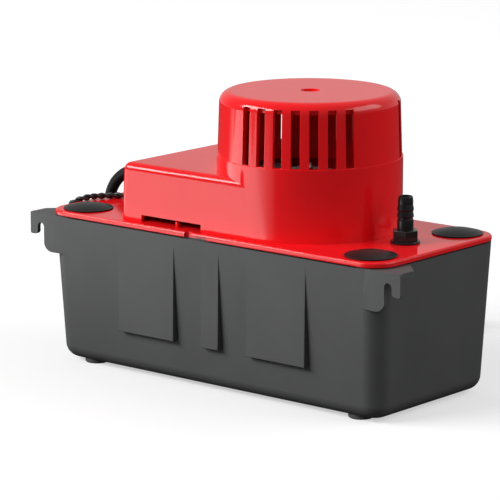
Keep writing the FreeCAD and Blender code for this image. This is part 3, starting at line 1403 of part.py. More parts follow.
def strain_relief():
    """The tapered bush that holds the cord in the end wall of the box."""
    wall_x = relief_wall_x(EXIT_Z)
    inner_x = wall_x + COVER_WALL + 0.5

    def bar(radius, x0, x1):
        return rod_along(radius, V(x0, EXIT_Y, EXIT_Z), V(x1, EXIT_Y, EXIT_Z))
    outer_x = wall_x - 0.6
    taper = Part.makeCone(RELIEF_ROOT_R, RELIEF_TIP_R, RELIEF_LENGTH,
                          V(outer_x, EXIT_Y, EXIT_Z), V(-1, 0, 0))
    parts = [taper, bar(RELIEF_COLLAR_R, outer_x, outer_x - RELIEF_COLLAR),
             bar(RELIEF_ROOT_R - 0.05, outer_x, inner_x),
             bar(RELIEF_COLLAR_R, inner_x, inner_x + RELIEF_NUT)]
    return join(parts)


def relief_tip_x():
    """End of the strain relief, where the cord's free length starts."""
    return relief_wall_x(EXIT_Z) - 0.6 - RELIEF_LENGTH


def leads_grommet():
    """A small grommet for the switch leads."""
    wall_x = relief_wall_x(LEADS_EXIT_Z)

    def bar(radius, x0, x1):
        return rod_along(radius, V(x0, LEADS_EXIT_Y, LEADS_EXIT_Z), V(x1, LEADS_EXIT_Y, LEADS_EXIT_Z))
    neck = GROMMET_R - GROMMET_LIP
    body = join([bar(neck - 0.05, wall_x - 1, wall_x + COVER_WALL + 1),
                 bar(GROMMET_R, wall_x - 1 - GROMMET_LIP, wall_x - 0.3),
                 bar(GROMMET_R, wall_x + COVER_WALL + 0.3, wall_x + COVER_WALL + 1 + GROMMET_LIP)])
    return body.cut(bar(LEADS_R, wall_x - 4, wall_x + COVER_WALL + 4))


def coil_band():
    """Inner and outer radius and height of the wound cord."""
    outer = COIL_INNER_R + (COIL_TURNS_ACROSS - 1) * CORD_PITCH + CORD_R
    return COIL_INNER_R - CORD_R, outer, CORD_R * 2 + (COIL_LAYERS - 1) * CORD_PITCH


def power_cord():
    """The cord's free stretch, from the strain relief to the coil."""
    route = [(relief_tip_x(), EXIT_Y, EXIT_Z)] + CORD_ROUTE
    body, length, radii = swept(route, CORD_R)
    section = math.pi * CORD_R ** 2
    print("cord length", round(length, 1), "volume ratio", round(body.Volume / section / length, 4))
    print("cord radii", radii, "in diameters", [round(r / CORD_R / 2, 1) for r in radii])
    return body


def cord_coil():
    """The put-away turns as one ring."""
    inner, outer, height = coil_band()
    body = tube(outer, inner, 0.05, 0.05 + height, COIL_X, COIL_Y)
    rims = level_edges(body, 0.05) + level_edges(body, 0.05 + height)
    return body.makeFillet(CORD_R * 0.9, rims)


def tail_route():
    """The short stretch from the coil's back to the plug."""
    y = COIL_Y + COIL_INNER_R + (COIL_TURNS_ACROSS - 1) * CORD_PITCH
    z = CORD_R + CORD_PITCH + 0.05
    return V(COIL_X + 4, y, z), V(COIL_X + 4 + TAIL_LENGTH, y, z)


def cord_tail():
    """The straight end of the cord at the plug."""
    start, end = tail_route()
    return rod_along(CORD_R, start, end)


def power_plug():
    """The moulded plug: neck, shoulders and a flat face."""
    end = tail_route()[1]
    neck = Part.makeCone(CORD_R + 0.8, PLUG_NECK_R, PLUG_NECK, end, V(1, 0, 0))
    x0 = end.x + PLUG_NECK
    frames = []
    for x, hy, hz in ((x0, PLUG_NECK_R, PLUG_NECK_R), (x0 + 9, PLUG_FACE_HALF - 1, PLUG_HALF - 1),
                      (x0 + PLUG_BODY, PLUG_FACE_HALF, PLUG_HALF)):
        frame = rounded_frame(hz, hy, min(hy, hz) * 0.6, 0)
        frame.rotate(V(0, 0, 0), V(0, 1, 0), 90)
        frame.translate(V(x, end.y, end.z))
        frames.append(frame)
    body = Part.makeLoft(frames, True, True)
    return join([neck, body])


def plug_blades():
    """Two flat blades and the round earth pin."""
    end = tail_route()[1]
    x0 = end.x + PLUG_NECK + PLUG_BODY
    blades = []
    for side in (-1, 1):
        y = end.y + side * BLADE_SPREAD
        z = end.z + 2.5
        blades.append(block(x0, x0 + BLADE_LENGTH, y - BLADE_THICK / 2, y + BLADE_THICK / 2,
                            z - BLADE_WIDTH / 2, z + BLADE_WIDTH / 2))
    low = V(x0, end.y, end.z - EARTH_PIN_DROP)
    blades.append(rod_along(EARTH_PIN_R, low, low + V(BLADE_LENGTH + 2, 0, 0)))
    return blades


def switch_leads():
    """The twisted pair of switch leads as one round bundle."""
    start_x = relief_wall_x(LEADS_EXIT_Z) + COVER_WALL
    route = [(start_x, LEADS_EXIT_Y, LEADS_EXIT_Z)] + LEADS_ROUTE
    body, length, radii = swept(route, LEADS_R)
    section = math.pi * LEADS_R ** 2
    print("leads length", round(length, 1), "volume ratio", round(body.Volume / section / length, 4))
    print("leads radii", radii, "in diameters", [round(r / LEADS_R / 2, 1) for r in radii])
    return body


def lead_tips():
    """The two stripped ends of the leads."""
    end = V(*LEADS_ROUTE[-1])
    way = (end - V(*LEADS_ROUTE[-2])).normalize()
    level = V(way.x, way.y, 0).normalize()
    side = V(-level.y, level.x, 0) * (LEADS_R / 2)
    return [rod_along(TIP_R, end + side, end + side + level * TIP_LENGTH),
            rod_along(TIP_R, end - side, end - side + level * TIP_LENGTH)]


def save(name, shapes):
    """Write one node, a solid or a group of like solids."""
    if not isinstance(shapes, list):
        shapes = [shapes]
    solids = [solid for shape in shapes for solid in shape.Solids]
    for solid in solids:
        if not solid.isValid() or solid.Volume <= 0:
            print("check", name, "solid", solid.isValid(), solid.Volume)
    shape = solids[0] if len(solids) == 1 else Part.makeCompound(solids)
    shape.exportStep("parts/" + name + ".step")
    box = shape.optimalBoundingBox(False)
    print(name, len(solids), "volume", round(shape.Volume, 1), "z", round(box.ZMin, 2), round(box.ZMax, 2))


def main():
    os.makedirs("parts", exist_ok=True)
    save("tank", tank())
    save("tank_cover", tank_cover())
    save("motor_cover", motor_cover())
    save("cover_screws", cover_screws())
    for place, x, y in inlet_places():
        save("inlet_plug_" + place, inlet_plug(x, y))
    save("check_valve_body", check_valve_body())
    save("check_valve_seal", valve_seal())
    save("check_ball", check_ball())
    save("discharge_pipe", discharge_pipe())
    save("pump_casing", pump_casing())
    save("pump_plate", pump_plate())
    save("pump_screws", pump_screws())
    save("impeller", impeller())
    save("impeller_nut", impeller_nut())
    save("motor_shaft", motor_shaft())
    save("shaft_slinger", slinger())
    save("rotor_core", rotor_core())
    save("rotor_end_rings", rotor_rings())
    save("stator_stack", stator_stack())
    save("coil_bobbin", coil_bobbin())
    save("motor_coil", motor_coil())
    save("lower_bracket", bearing_bracket(POST_Z, POST_Z + BRACKET_PLATE))
    save("upper_bracket", bearing_bracket(TOP_PLATE_Z, STACK_TOP_Z))
    save("lower_bearing", bearing(POST_Z))
    save("upper_bearing", bearing(TOP_PLATE_Z))
    save("motor_bolts", motor_bolts())
    save("float_hanger", float_hanger())
    save("hanger_screws", hanger_screws())
    save("float_pin", float_pin())
    save("float_arm", float_arm())
    save("float", float_block())
    save("push_rod", push_rod())
    for name in SWITCH_Y:
        save(name + "_switch", switch_case(name))
        save(name + "_switch_lever", switch_lever(name))
        save(name + "_switch_button", switch_button(name))
    save("lever_pins", lever_pins())
    save("switch_frame", switch_frame())
    save("switch_screws", switch_screws())
    save("frame_screws", frame_screws())
    save("strain_relief", strain_relief())
    save("power_cord", power_cord())
    save("power_cord_coil", cord_coil())
    save("power_cord_tail", cord_tail())
    save("power_plug", power_plug())
    save("plug_blades", plug_blades())
    save("leads_grommet", leads_grommet())
    save("switch_leads", switch_leads())
    save("lead_tips", lead_tips())
    print("push rod travel", round(rod_travel(), 3))


main()
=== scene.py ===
import bmesh
import bpy
import math
from mathutils import Matrix, Vector


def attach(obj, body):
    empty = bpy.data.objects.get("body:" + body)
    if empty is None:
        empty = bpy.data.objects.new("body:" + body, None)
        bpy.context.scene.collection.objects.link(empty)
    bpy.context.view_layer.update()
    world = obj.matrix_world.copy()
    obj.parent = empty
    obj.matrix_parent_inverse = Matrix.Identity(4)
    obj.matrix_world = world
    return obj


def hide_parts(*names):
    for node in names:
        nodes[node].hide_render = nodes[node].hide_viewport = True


# A condensate pump: a dark moulded tank with wall hooks, a glossy red lid and motor cover,
# domed plugs, a black check valve, a mains cord and twisted switch leads. Metres.

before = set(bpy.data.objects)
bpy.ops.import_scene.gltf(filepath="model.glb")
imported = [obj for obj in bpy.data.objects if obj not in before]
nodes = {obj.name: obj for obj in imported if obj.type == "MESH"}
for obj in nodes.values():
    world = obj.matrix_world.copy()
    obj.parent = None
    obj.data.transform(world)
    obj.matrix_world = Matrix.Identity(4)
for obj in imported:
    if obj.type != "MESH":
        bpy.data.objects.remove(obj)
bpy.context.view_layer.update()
bpy.ops.object.select_all(action="DESELECT")


# Camera: a long lens well back, to the right of the front and a little above the lid,
# as the photograph was taken.
lens_length, film_width = 216.9, 36.0
camera_place, camera_target = (1.2282, -1.4797, 0.4884), (-0.00951, -0.00800, 0.08383)
camera_data = bpy.data.cameras.new("studio_camera")
camera_data.sensor_width = film_width
camera_data.lens = lens_length
camera = bpy.data.objects.new("studio_camera", camera_data)
bpy.context.collection.objects.link(camera)
camera.location = camera_place
aim = Vector(camera_target) - camera.location
camera.rotation_euler = aim.to_track_quat("-Z", "Y").to_euler()
bpy.context.scene.camera = camera
bpy.context.scene.view_settings.view_transform = "Standard"


# Studio: a plain grey room, paler behind the pump, with a wide soft lamp high at the left front
# and a weak one high behind the right end. Pale cards low at the left front are mirrored by the
# gloss, and a dark sheet on the floor, which only the gloss sees, keeps the rest of it deep.
light_in_front, light_behind = 0.14, 0.54
world = bpy.data.worlds.new("studio_room")
world.use_nodes = True
room = world.node_tree.nodes["Background"]
room.inputs["Color"].default_value = (1.0, 1.0, 1.0, 1.0)
compass = world.node_tree.nodes.new("ShaderNodeTexCoord")
parts = world.node_tree.nodes.new("ShaderNodeSeparateXYZ")
depth = world.node_tree.nodes.new("ShaderNodeMapRange")
depth.inputs["From Min"].default_value = -1.0
depth.inputs["To Min"].default_value = light_in_front
depth.inputs["To Max"].default_value = light_behind
world.node_tree.links.new(compass.outputs["Generated"], parts.inputs["Vector"])
world.node_tree.links.new(parts.outputs["Y"], depth.inputs["Value"])
world.node_tree.links.new(depth.outputs["Result"], room.inputs["Strength"])
bpy.context.scene.world = world


def lamp(name, azimuth, elevation, distance, size, energy, aim_at):
    """A rectangular soft lamp at a bearing from the front, turned to a point."""
    data = bpy.data.lights.new(name, "AREA")
    data.shape = "RECTANGLE"
    data.size, data.size_y = size
    data.energy = energy
    thing = bpy.data.objects.new(name, data)
    bpy.context.collection.objects.link(thing)
    bearing, rise = math.radians(azimuth), math.radians(elevation)
    out = distance * math.cos(rise)
    thing.location = (out * math.sin(bearing), -out * math.cos(bearing), distance * math.sin(rise))
    way = Vector(aim_at) - thing.location
    thing.rotation_euler = way.to_track_quat("-Z", "Y").to_euler()
    thing.visible_camera = False
    return thing


pump_middle, floor_middle = (0.0, 0.0, 0.1), (0.0, 0.0, 0.0)
lamp("key_lamp", azimuth=-38.0, elevation=33.0, distance=3.0, size=(2.4, 1.0), energy=106.0,
     aim_at=pump_middle)
lamp("end_lamp", azimuth=120.0, elevation=36.0, distance=1.6, size=(1.20, 0.80), energy=9.0,
     aim_at=pump_middle)
card_out, card_depth, card_height = 1.09, 1.42, 0.004
cards = [     # name, bearing of its middle, half of its turn, glow
    ("card_left_fade", -76.0, 2.0, 0.8), ("card_left", -72.0, 2.0, 1.8),
    ("card_middle", -51.5, 18.5, 3.3), ("card_right", -30.0, 3.0, 3.0),
    ("card_right_dim", -24.0, 3.0, 2.3), ("card_right_dimmer", -18.0, 3.0, 1.7),
    ("card_right_edge", -12.0, 3.0, 1.1), ("card_right_fade", -6.0, 3.0, 0.6),
]
for name, azimuth, half_turn, glow in cards:
    width = 2 * card_out * math.tan(math.radians(half_turn))
    power = math.pi * glow * width * card_depth
    card = lamp(name, azimuth, 0.0, card_out, (width, card_depth), power, floor_middle)
    card.location.z = card_height
    card.rotation_euler = (math.radians(180.0), 0.0, math.radians(azimuth))
    card.visible_diffuse = False
sheet_side, sheet_height = 5.0, 0.0002
dark_paper = bpy.data.materials.new("dark_paper")
dark_paper.use_nodes = True
paper = dark_paper.node_tree.nodes["Principled BSDF"]
paper.inputs["Base Color"].default_value = (0.05, 0.05, 0.05, 1.0)
paper.inputs["Roughness"].default_value = 0.9
bpy.ops.mesh.primitive_plane_add(size=sheet_side, location=(0.0, 0.0, sheet_height))
dark_sheet = bpy.context.object
dark_sheet.name = "dark_sheet"
bpy.ops.object.transform_apply(location=True, rotation=True, scale=True)
dark_sheet.data.materials.append(dark_paper)
dark_sheet.visible_camera = dark_sheet.visible_diffuse = False
dark_sheet.visible_shadow = dark_sheet.visible_transmission = False


# Floor: a wide pale sheet under the pump. It looks white to the camera and in the gloss,
# and keeps the pump's soft shadow.
floor_side = 9.0
share_unseen, share_seen = 0.12, 0.46     # of the light on it that it gives back
glow_near, glow_far = 0.53, 0.70
near_reach, far_reach = 0.25, 1.10
bpy.ops.mesh.primitive_plane_add(size=floor_side, location=floor_middle)
floor = bpy.context.object
floor.name = "studio_floor"
sheet = bpy.data.materials.new("floor_sheet")
sheet.use_nodes = True
tree = sheet.node_tree
shader = tree.nodes["Principled BSDF"]
shader.inputs["Roughness"].default_value = 0.9
shader.inputs["Specular IOR Level"].default_value = 0.0
shader.inputs["Emission Color"].default_value = (1.0, 1.0, 1.0, 1.0)
seen = tree.nodes.new("ShaderNodeLightPath")
either = tree.nodes.new("ShaderNodeMath")
either.operation = "MAXIMUM"
tree.links.new(seen.outputs["Is Camera Ray"], either.inputs[0])
tree.links.new(seen.outputs["Is Glossy Ray"], either.inputs[1])
also = tree.nodes.new("ShaderNodeMath")
also.operation = "MAXIMUM"
tree.links.new(either.outputs[0], also.inputs[0])
tree.links.new(seen.outputs["Is Transmission Ray"], also.inputs[1])
share = tree.nodes.new("ShaderNodeMapRange")
share.inputs["To Min"].default_value = share_unseen
share.inputs["To Max"].default_value = share_seen
tree.links.new(seen.outputs["Is Camera Ray"], share.inputs["Value"])
tree.links.new(share.outputs["Result"], shader.inputs["Base Color"])
spot = tree.nodes.new("ShaderNodeTexCoord")
away = tree.nodes.new("ShaderNodeVectorMath")
away.operation = "LENGTH"
tree.links.new(spot.outputs["Object"], away.inputs[0])
fade = tree.nodes.new("ShaderNodeMapRange")
fade.inputs["From Min"].default_value = near_reach
fade.inputs["From Max"].default_value = far_reach
fade.inputs["To Min"].default_value = glow_near
fade.inputs["To Max"].default_value = glow_far
tree.links.new(away.outputs["Value"], fade.inputs["Value"])
strength = tree.nodes.new("ShaderNodeMath")
strength.operation = "MULTIPLY"
tree.links.new(also.outputs[0], strength.inputs[0])
tree.links.new(fade.outputs["Result"], strength.inputs[1])
tree.links.new(strength.outputs[0], shader.inputs["Emission Strength"])
floor.data.materials.append(sheet)
bpy.ops.object.select_all(action="DESELECT")


# Mains cord: 1.83 m of round black flexible cord, 7.8 mm thick. It leaves the cover's end
# wall, bends down past the tank and is put away behind it in a neat coil of two layers.
def finish(name, colour, roughness, skin, depth, metallic=0.0, uneven=0.06, stretch=(1.0, 1.0, 1.0),
           specular=0.5):
    """A procedural finish: colour and gloss that vary softly, under a fine skin or grain.

    skin is the size of the grain and depth its height, both in metres; uneven is how far the
    colour strays from the one given.
    """
    cloud_scale, gloss_swing, bump_strength = 28.0, 0.12, 0.6
    material = bpy.data.materials.new(name)
    material.use_nodes = True
    tree = material.node_tree
    shader = tree.nodes["Principled BSDF"]
    shader.inputs["Metallic"].default_value = metallic
    shader.inputs["Specular IOR Level"].default_value = specular
    place = tree.nodes.new("ShaderNodeTexCoord")
    turn = tree.nodes.new("ShaderNodeMapping")
    turn.inputs["Scale"].default_value = stretch
    tree.links.new(place.outputs["Object"], turn.inputs["Vector"])

    def noise(scale, detail):
        """A soft noise in the piece's own coordinates."""
        texture = tree.nodes.new("ShaderNodeTexNoise")
        texture.inputs["Scale"].default_value = scale
        texture.inputs["Detail"].default_value = detail
        tree.links.new(turn.outputs["Vector"], texture.inputs["Vector"])
        return texture.outputs["Fac"]

    clouds = noise(cloud_scale, 3.0)
    fine = noise(1.0 / skin, 5.0)
    ramp = tree.nodes.new("ShaderNodeValToRGB")
    ramp.color_ramp.elements[0].position = 0.3
    ramp.color_ramp.elements[1].position = 0.7
    for stop, change in zip(ramp.color_ramp.elements, (1.0 - uneven, 1.0 + uneven)):
        stop.color = (*[min(1.0, c * change) for c in colour], 1.0)
    tree.links.new(clouds, ramp.inputs["Fac"])
    tree.links.new(ramp.outputs["Color"], shader.inputs["Base Color"])
    gloss = tree.nodes.new("ShaderNodeMapRange")
    gloss.inputs["To Min"].default_value = roughness * (1.0 - gloss_swing)
    gloss.inputs["To Max"].default_value = min(1.0, roughness * (1.0 + gloss_swing))
    tree.links.new(fine, gloss.inputs["Value"])
    tree.links.new(gloss.outputs["Result"], shader.inputs["Roughness"])
    bump = tree.nodes.new("ShaderNodeBump")
    bump.inputs["Distance"].default_value = depth
    bump.inputs["Strength"].default_value = bump_strength
    tree.links.new(fine, bump.inputs["Height"])
    tree.links.new(bump.outputs["Normal"], shader.inputs["Normal"])
    return material


def free_line(name, points, thickness):
    """One smooth open line through given points, with a round thickness."""
    curve = bpy.data.curves.new(name, "CURVE")
    curve.dimensions = "3D"
    spline = curve.splines.new("NURBS")
    spline.points.add(len(points) - 1)
    for place, point in zip(spline.points, points):
        place.co = (*point, 1.0)
    spline.order_u = 3
    spline.use_endpoint_u = True
    spline.resolution_u = 10
    curve.bevel_depth = thickness / 2
    curve.bevel_resolution = 7
    curve.use_fill_caps = True
    line = bpy.data.objects.new(name, curve)
    bpy.context.collection.objects.link(line)
    return line


cord_radius = 0.0039
cord_exit = (-0.10422, 0.0140, 0.1200)
cord_points = [
    cord_exit, (-0.1195, 0.0140, 0.1200), (-0.1390, 0.0140, 0.1186),
    (-0.1532, 0.0140, 0.1046), (-0.1560, 0.0150, 0.0840), (-0.1565, 0.0170, 0.0560),
    (-0.1560, 0.0260, 0.0270), (-0.1545, 0.0520, 0.0075), (-0.1495, 0.0880, 0.00395),
    (-0.1454, 0.1220, 0.00395),
]
coil_middle = (-0.0907, 0.1300)
coil_rings = (0.0541, 0.0462, 0.0383)     # outer, middle and inner turn
coil_floor, coil_upper = 0.00395, 0.01185
coil_step, coil_turned = 22.5, 1890.0     # degrees
ring_changes = (     # degrees where a change begins and ends, ring before and after
    (290.0, 360.0, 0, 1), (650.0, 720.0, 1, 2), (1250.0, 1320.0, 2, 1), (1610.0, 1680.0, 1, 0))
layer_change = (960.0, 1050.0)
corner_cut = 0.75 + 0.25 * math.cos(math.radians(coil_step))     # the line cuts its points' corners
tail_straight, plug_start = -0.0867, -0.0447


def eased(turned, begin, end):
    """How much of a change is done at a turn, from 0 to 1, with a soft start and end."""
    share = min(1.0, max(0.0, (turned - begin) / (end - begin)))
    return share * share * (3.0 - 2.0 * share)


for number in range(1, int(coil_turned / coil_step)):
    turned = number * coil_step
    ring = coil_rings[0]
    for begin, end, before, after in ring_changes:
        ring += (coil_rings[after] - coil_rings[before]) * eased(turned, begin, end)
    level = coil_floor + (coil_upper - coil_floor) * eased(turned, *layer_change)
    bearing = math.radians(turned)
    cord_points.append((coil_middle[0] - ring / corner_cut * math.cos(bearing),
                        coil_middle[1] + ring / corner_cut * math.sin(bearing), level))
tail_y = coil_middle[1] + coil_rings[0]
cord_points += [(coil_middle[0], tail_y, coil_upper), (tail_straight, tail_y, coil_upper),
                (plug_start, tail_y, coil_upper)]
mains_cord = free_line("mains_cord", cord_points, 2 * cord_radius)
mains_cord.data.materials.append(finish("cord_jacket", (0.008, 0.008, 0.0085), 0.42, 0.0009, 0.00005,
                                        specular=0.12))
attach(mains_cord, "housing")
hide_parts("power_cord", "power_cord_coil", "power_cord_tail")


# Mains plug: a moulded grip with grooves in its sides and a ribbed neck on the cord's end. It
# lies behind the tank beside the coil; its blades and earth pin are the solids of the frame.
def choose(piece, kind, test):
    """In edit mode, selects only the faces, edges or corners that pass a test."""
    bpy.ops.mesh.select_mode(type=kind)
    bpy.ops.mesh.select_all(action="DESELECT")
    mesh = bmesh.from_edit_mesh(piece.data)
    if kind == "FACE":
        for face in mesh.faces:
            face.select_set(bool(test(face.calc_center_median(), face.normal)))
    elif kind == "EDGE":
        for edge in mesh.edges:
            edge.select_set(bool(test(edge.verts[0].co, edge.verts[1].co)))
    else:
        for corner in mesh.verts:
            corner.select_set(bool(test(corner.co)))
    mesh.select_flush_mode()
    bmesh.update_edit_mesh(piece.data)


def edit(piece):
    """Goes into edit mode on one piece alone."""
    bpy.ops.object.select_all(action="DESELECT")
    bpy.context.view_layer.objects.active = piece
    piece.select_set(True)
    bpy.ops.object.mode_set(mode="EDIT")


def leave():
    """Goes back to object mode."""
    bpy.ops.object.mode_set(mode="OBJECT")


def brick(name, low, high):
    """A box between two corners, with its place in its mesh."""
    middle = [(a + b) / 2 for a, b in zip(low, high)]
    bpy.ops.mesh.primitive_cube_add(size=1.0, location=middle)
    piece = bpy.context.object
    piece.name = name
    piece.scale = [b - a for a, b in zip(low, high)]
    bpy.ops.object.transform_apply(location=True, rotation=True, scale=True)
    return piece


def turned_form(name, profile, place, sides):
    """A round piece: a circle drawn out ring by ring to (radius, height) pairs."""
    radius, height = profile[0]
    bpy.ops.mesh.primitive_circle_add(vertices=sides, radius=radius,
                                      location=(place[0], place[1], height))
    piece = bpy.context.object
    piece.name = name
    bpy.ops.object.transform_apply(location=True, rotation=True, scale=True)
    edit(piece)
    bpy.ops.mesh.select_all(action="SELECT")
    for wide, high in profile[1:]:
        bpy.ops.mesh.extrude_region_move(
            TRANSFORM_OT_translate={"value": (0.0, 0.0, high - height)})
        if abs(wide - radius) > 1e-9:
            bpy.ops.transform.resize(value=(wide / radius, wide / radius, 1.0),
                                     center_override=(place[0], place[1], high))
        radius, height = max(wide, 1e-6), high
        if wide < 1e-6:
            bpy.ops.mesh.merge(type="CENTER")
    bpy.ops.mesh.select_all(action="SELECT")
    bpy.ops.mesh.remove_doubles(threshold=1e-7)
    bpy.ops.mesh.fill_holes(sides=0)
    bpy.ops.mesh.select_all(action="SELECT")
    bpy.ops.mesh.normals_make_consistent(inside=False)
    leave()
    return piece


def modify(piece, kind, **settings):
    """Adds one modifier and applies it."""
    bpy.ops.object.select_all(action="DESELECT")
    bpy.context.view_layer.objects.active = piece
    piece.select_set(True)
    modifier = piece.modifiers.new(kind.lower(), kind)
    for key, value in settings.items():
        setattr(modifier, key, value)
    bpy.ops.object.modifier_apply(modifier=modifier.name)


def carve(piece, tool, operation="DIFFERENCE"):
    """Cuts a tool out of a piece, or joins it on, and removes the tool."""
    modify(piece, "BOOLEAN", object=tool, operation=operation, solver="EXACT")
    bpy.data.objects.remove(tool)


def smooth(piece, angle=30.0):
    """Smooth faces with crisp corners, where large flat faces stay flat."""
    bpy.ops.object.select_all(action="DESELECT")
    bpy.context.view_layer.objects.active = piece
    piece.select_set(True)
    bpy.ops.object.shade_smooth_by_angle(angle=math.radians(angle))
    modify(piece, "WEIGHTED_NORMAL", keep_sharp=True, weight=80)


def turn_to(piece, place, way):
    """Lays a form that was drawn upright along X, from a place."""
    quarter = Matrix.Rotation(math.radians(90.0 if way > 0 else -90.0), 4, "Y")
    piece.data.transform(Matrix.Translation(place) @ quarter)


neck_ribs, neck_pitch, neck_growth = 5, 0.0040, 0.00026
neck_profile = []
for number in range(neck_ribs):
    step = number * neck_pitch
    ridge, dip = 0.0047 + neck_growth * number, 0.0042 + neck_growth * number
    neck_profile += [(ridge, step), (ridge, step + 0.0026), (dip, step + 0.0030), (dip, step + 0.0038)]
neck_profile += [(0.0058, 0.0202), (0.0058, 0.0230)]
neck = turned_form("plug_neck", neck_profile, (0.0, 0.0), 48)
turn_to(neck, (plug_start, tail_y, coil_upper), 1)
grip_back, grip_shoulder, grip_front = -0.0247, -0.0157, 0.0073
grip_half_width, grip_low, grip_high = 0.0140, 0.00005, 0.02365
grip_rounding, grip_front_rounding = 0.0052, 0.0010
grip_grooves, groove_start, groove_pitch, groove_width = 4, -0.0110, 0.0036, 0.0016
groove_out, groove_reach, groove_low, groove_high = 0.0155, 0.0022, 0.0045, 0.0195
grip = brick("mains_plug", (grip_back, tail_y - grip_half_width, grip_low),
             (grip_front, tail_y + grip_half_width, grip_high))
edit(grip)
choose(grip, "FACE", lambda middle, normal: normal.x < -0.9)
bpy.ops.transform.resize(value=(1.0, 0.52, 0.56), center_override=(grip_back, tail_y, coil_upper))
bpy.ops.mesh.select_all(action="SELECT")
bpy.ops.mesh.bisect(plane_co=(grip_shoulder, tail_y, coil_upper), plane_no=(1.0, 0.0, 0.0))
choose(grip, "EDGE", lambda a, b: max(abs(a.x - grip_shoulder), abs(b.x - grip_shoulder)) < 1e-5)
bpy.ops.transform.resize(value=(1.0, 1.14, 1.14), center_override=(grip_shoulder, tail_y, coil_upper))
choose(grip, "EDGE", lambda a, b: abs(a.x - b.x) > 0.004)
bpy.ops.mesh.bevel(offset=grip_rounding, segments=6, affect="EDGES")
choose(grip, "EDGE", lambda a, b: min(a.x, b.x) > grip_front - 1e-5)
bpy.ops.mesh.bevel(offset=grip_front_rounding, segments=3, affect="EDGES")
leave()
for number in range(grip_grooves):
    groove_x = groove_start + groove_pitch * number
    for side in (-1, 1):
        groove_y = tail_y + side * groove_out
        carve(grip, brick("grip_groove", (groove_x, groove_y - groove_reach, groove_low),
                          (groove_x + groove_width, groove_y + groove_reach, groove_high)))
carve(grip, neck, "UNION")
smooth(grip, 32.0)
grip.data.materials.append(finish("plug_grip", (0.018, 0.018, 0.019), 0.42, 0.0006, 0.00006))
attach(grip, "housing")
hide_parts("power_plug")


# Strain relief: a ribbed rubber bush, moulded on the cord, with a collar against the
# cover's end wall and a nut inside it.
relief_start, relief_ribs, relief_pitch, relief_taper, rib_height = -0.07452, 7, 0.0029, 0.00021, 0.0009
relief_profile = [(0.0082, 0.0), (0.0082, 0.0016), (0.00655, 0.0016), (0.00655, 0.0051),
                  (0.0082, 0.0051), (0.0082, 0.0063), (0.0078, 0.0067), (0.0067, 0.0067)]
for number in range(relief_ribs):
    foot = 0.0076 + relief_pitch * number
    wide = 0.0066 - relief_taper * number
    relief_profile += [(wide - rib_height, foot), (wide - rib_height, foot + 0.0008),
                       (wide, foot + 0.0012), (wide - 0.0001, foot + 0.0026)]
relief_profile += [(0.0050, 0.0291), (0.0047, 0.0297)]
relief = turned_form("strain_relief_bush", relief_profile, (0.0, 0.0), 48)
turn_to(relief, (relief_start, *cord_exit[1:]), -1)
smooth(relief)
relief.data.materials.append(finish("relief_rubber", (0.015, 0.015, 0.016), 0.45, 0.0006, 0.00004))
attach(relief, "housing")
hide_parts("strain_relief")


# Switch leads: two thin black wires twisted together, 0.25 m of them. They run over the
# lid's corner behind the front left plug and hang down the tank's end.
lead_points = [
    (-0.07715, 0.0060, 0.1100), (-0.0970, 0.0055, 0.1084), (-0.1140, 0.0010, 0.1060),
    (-0.1275, -0.0090, 0.1058), (-0.1345, -0.0185, 0.1058), (-0.1375, -0.0300, 0.1060),
    (-0.1465, -0.0352, 0.1010), (-0.1515, -0.0350, 0.0890), (-0.1530, -0.0220, 0.0730),
    (-0.1520, -0.0030, 0.0520), (-0.1500, 0.0170, 0.0320), (-0.1470, 0.0370, 0.0130),
    (-0.1420, 0.0580, 0.0034), (-0.1350, 0.0760, 0.0023),
]
wire_radius, wire_offset, lay_length = 0.0011, 0.0011, 0.011
guide = free_line("lead_line", lead_points, 0.0)
guide.data.splines[0].resolution_u = 16
route_mesh = bpy.data.meshes.new_from_object(guide)
lead_path = [corner.co.copy() for corner in route_mesh.vertices]
bpy.data.objects.remove(guide)
runs = [(b - a).length for a, b in zip(lead_path, lead_path[1:])]
strands = bpy.data.curves.new("switch_leads_pair", "CURVE")
strands.dimensions = "3D"
strands.bevel_depth = wire_radius
strands.bevel_resolution = 3
strands.use_fill_caps = True
sideways = Vector((0.0, 1.0, 0.0))
frames_along = []
for number, middle in enumerate(lead_path):
    way = (lead_path[min(number + 1, len(lead_path) - 1)] - lead_path[max(number - 1, 0)]).normalized()
    sideways = (sideways - way * sideways.dot(way)).normalized()
    frames_along.append((middle, sideways.copy(), way.cross(sideways)))
for wire in (0.0, math.pi):
    spline = strands.splines.new("POLY")
    spline.points.add(len(lead_path) - 1)
    along = 0.0
    for number, (middle, first, second) in enumerate(frames_along):
        turned = wire + 2.0 * math.pi * along / lay_length
        place = middle + (first * math.cos(turned) + second * math.sin(turned)) * wire_offset
        spline.points[number].co = (*place, 1.0)
        along += runs[number] if number < len(runs) else 0.0
leads = bpy.data.objects.new("switch_leads_pair", strands)
bpy.context.collection.objects.link(leads)
bpy.ops.object.select_all(action="DESELECT")
bpy.context.view_layer.objects.active = leads
leads.select_set(True)
bpy.ops.object.convert(target="MESH")
leads = bpy.context.object
leads.name = "switch_leads_pair"
smooth(leads, 50.0)
leads.data.materials.append(finish("lead_jacket", (0.015, 0.015, 0.016), 0.38, 0.0007, 0.00003))
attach(leads, "housing")
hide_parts("switch_leads")


# Motor cover: one glossy red moulding with a 3 mm wall, a slotted dome over the motor and a
# long low box over the switches. It sits on the lid, held by four screws from below.
motor_x, motor_y, deck = 0.0310, 0.0035, 0.1035
dome_radius, dome_top, step_height, dome_sides = 0.0600, 0.1920, 0.1505, 300
dome_step, dome_lean = 0.0006, 0.0020
box_left, box_half_depth, box_top, box_lean = -0.0805, 0.0599, 0.1410, 0.0020
box_corner, box_edge = 0.0055, 0.0050
cover_wall, roof_wall = 0.0030, 0.0034
dome_shoulder, room_shoulder = 0.0072, 0.0045
overshoot = 0.001


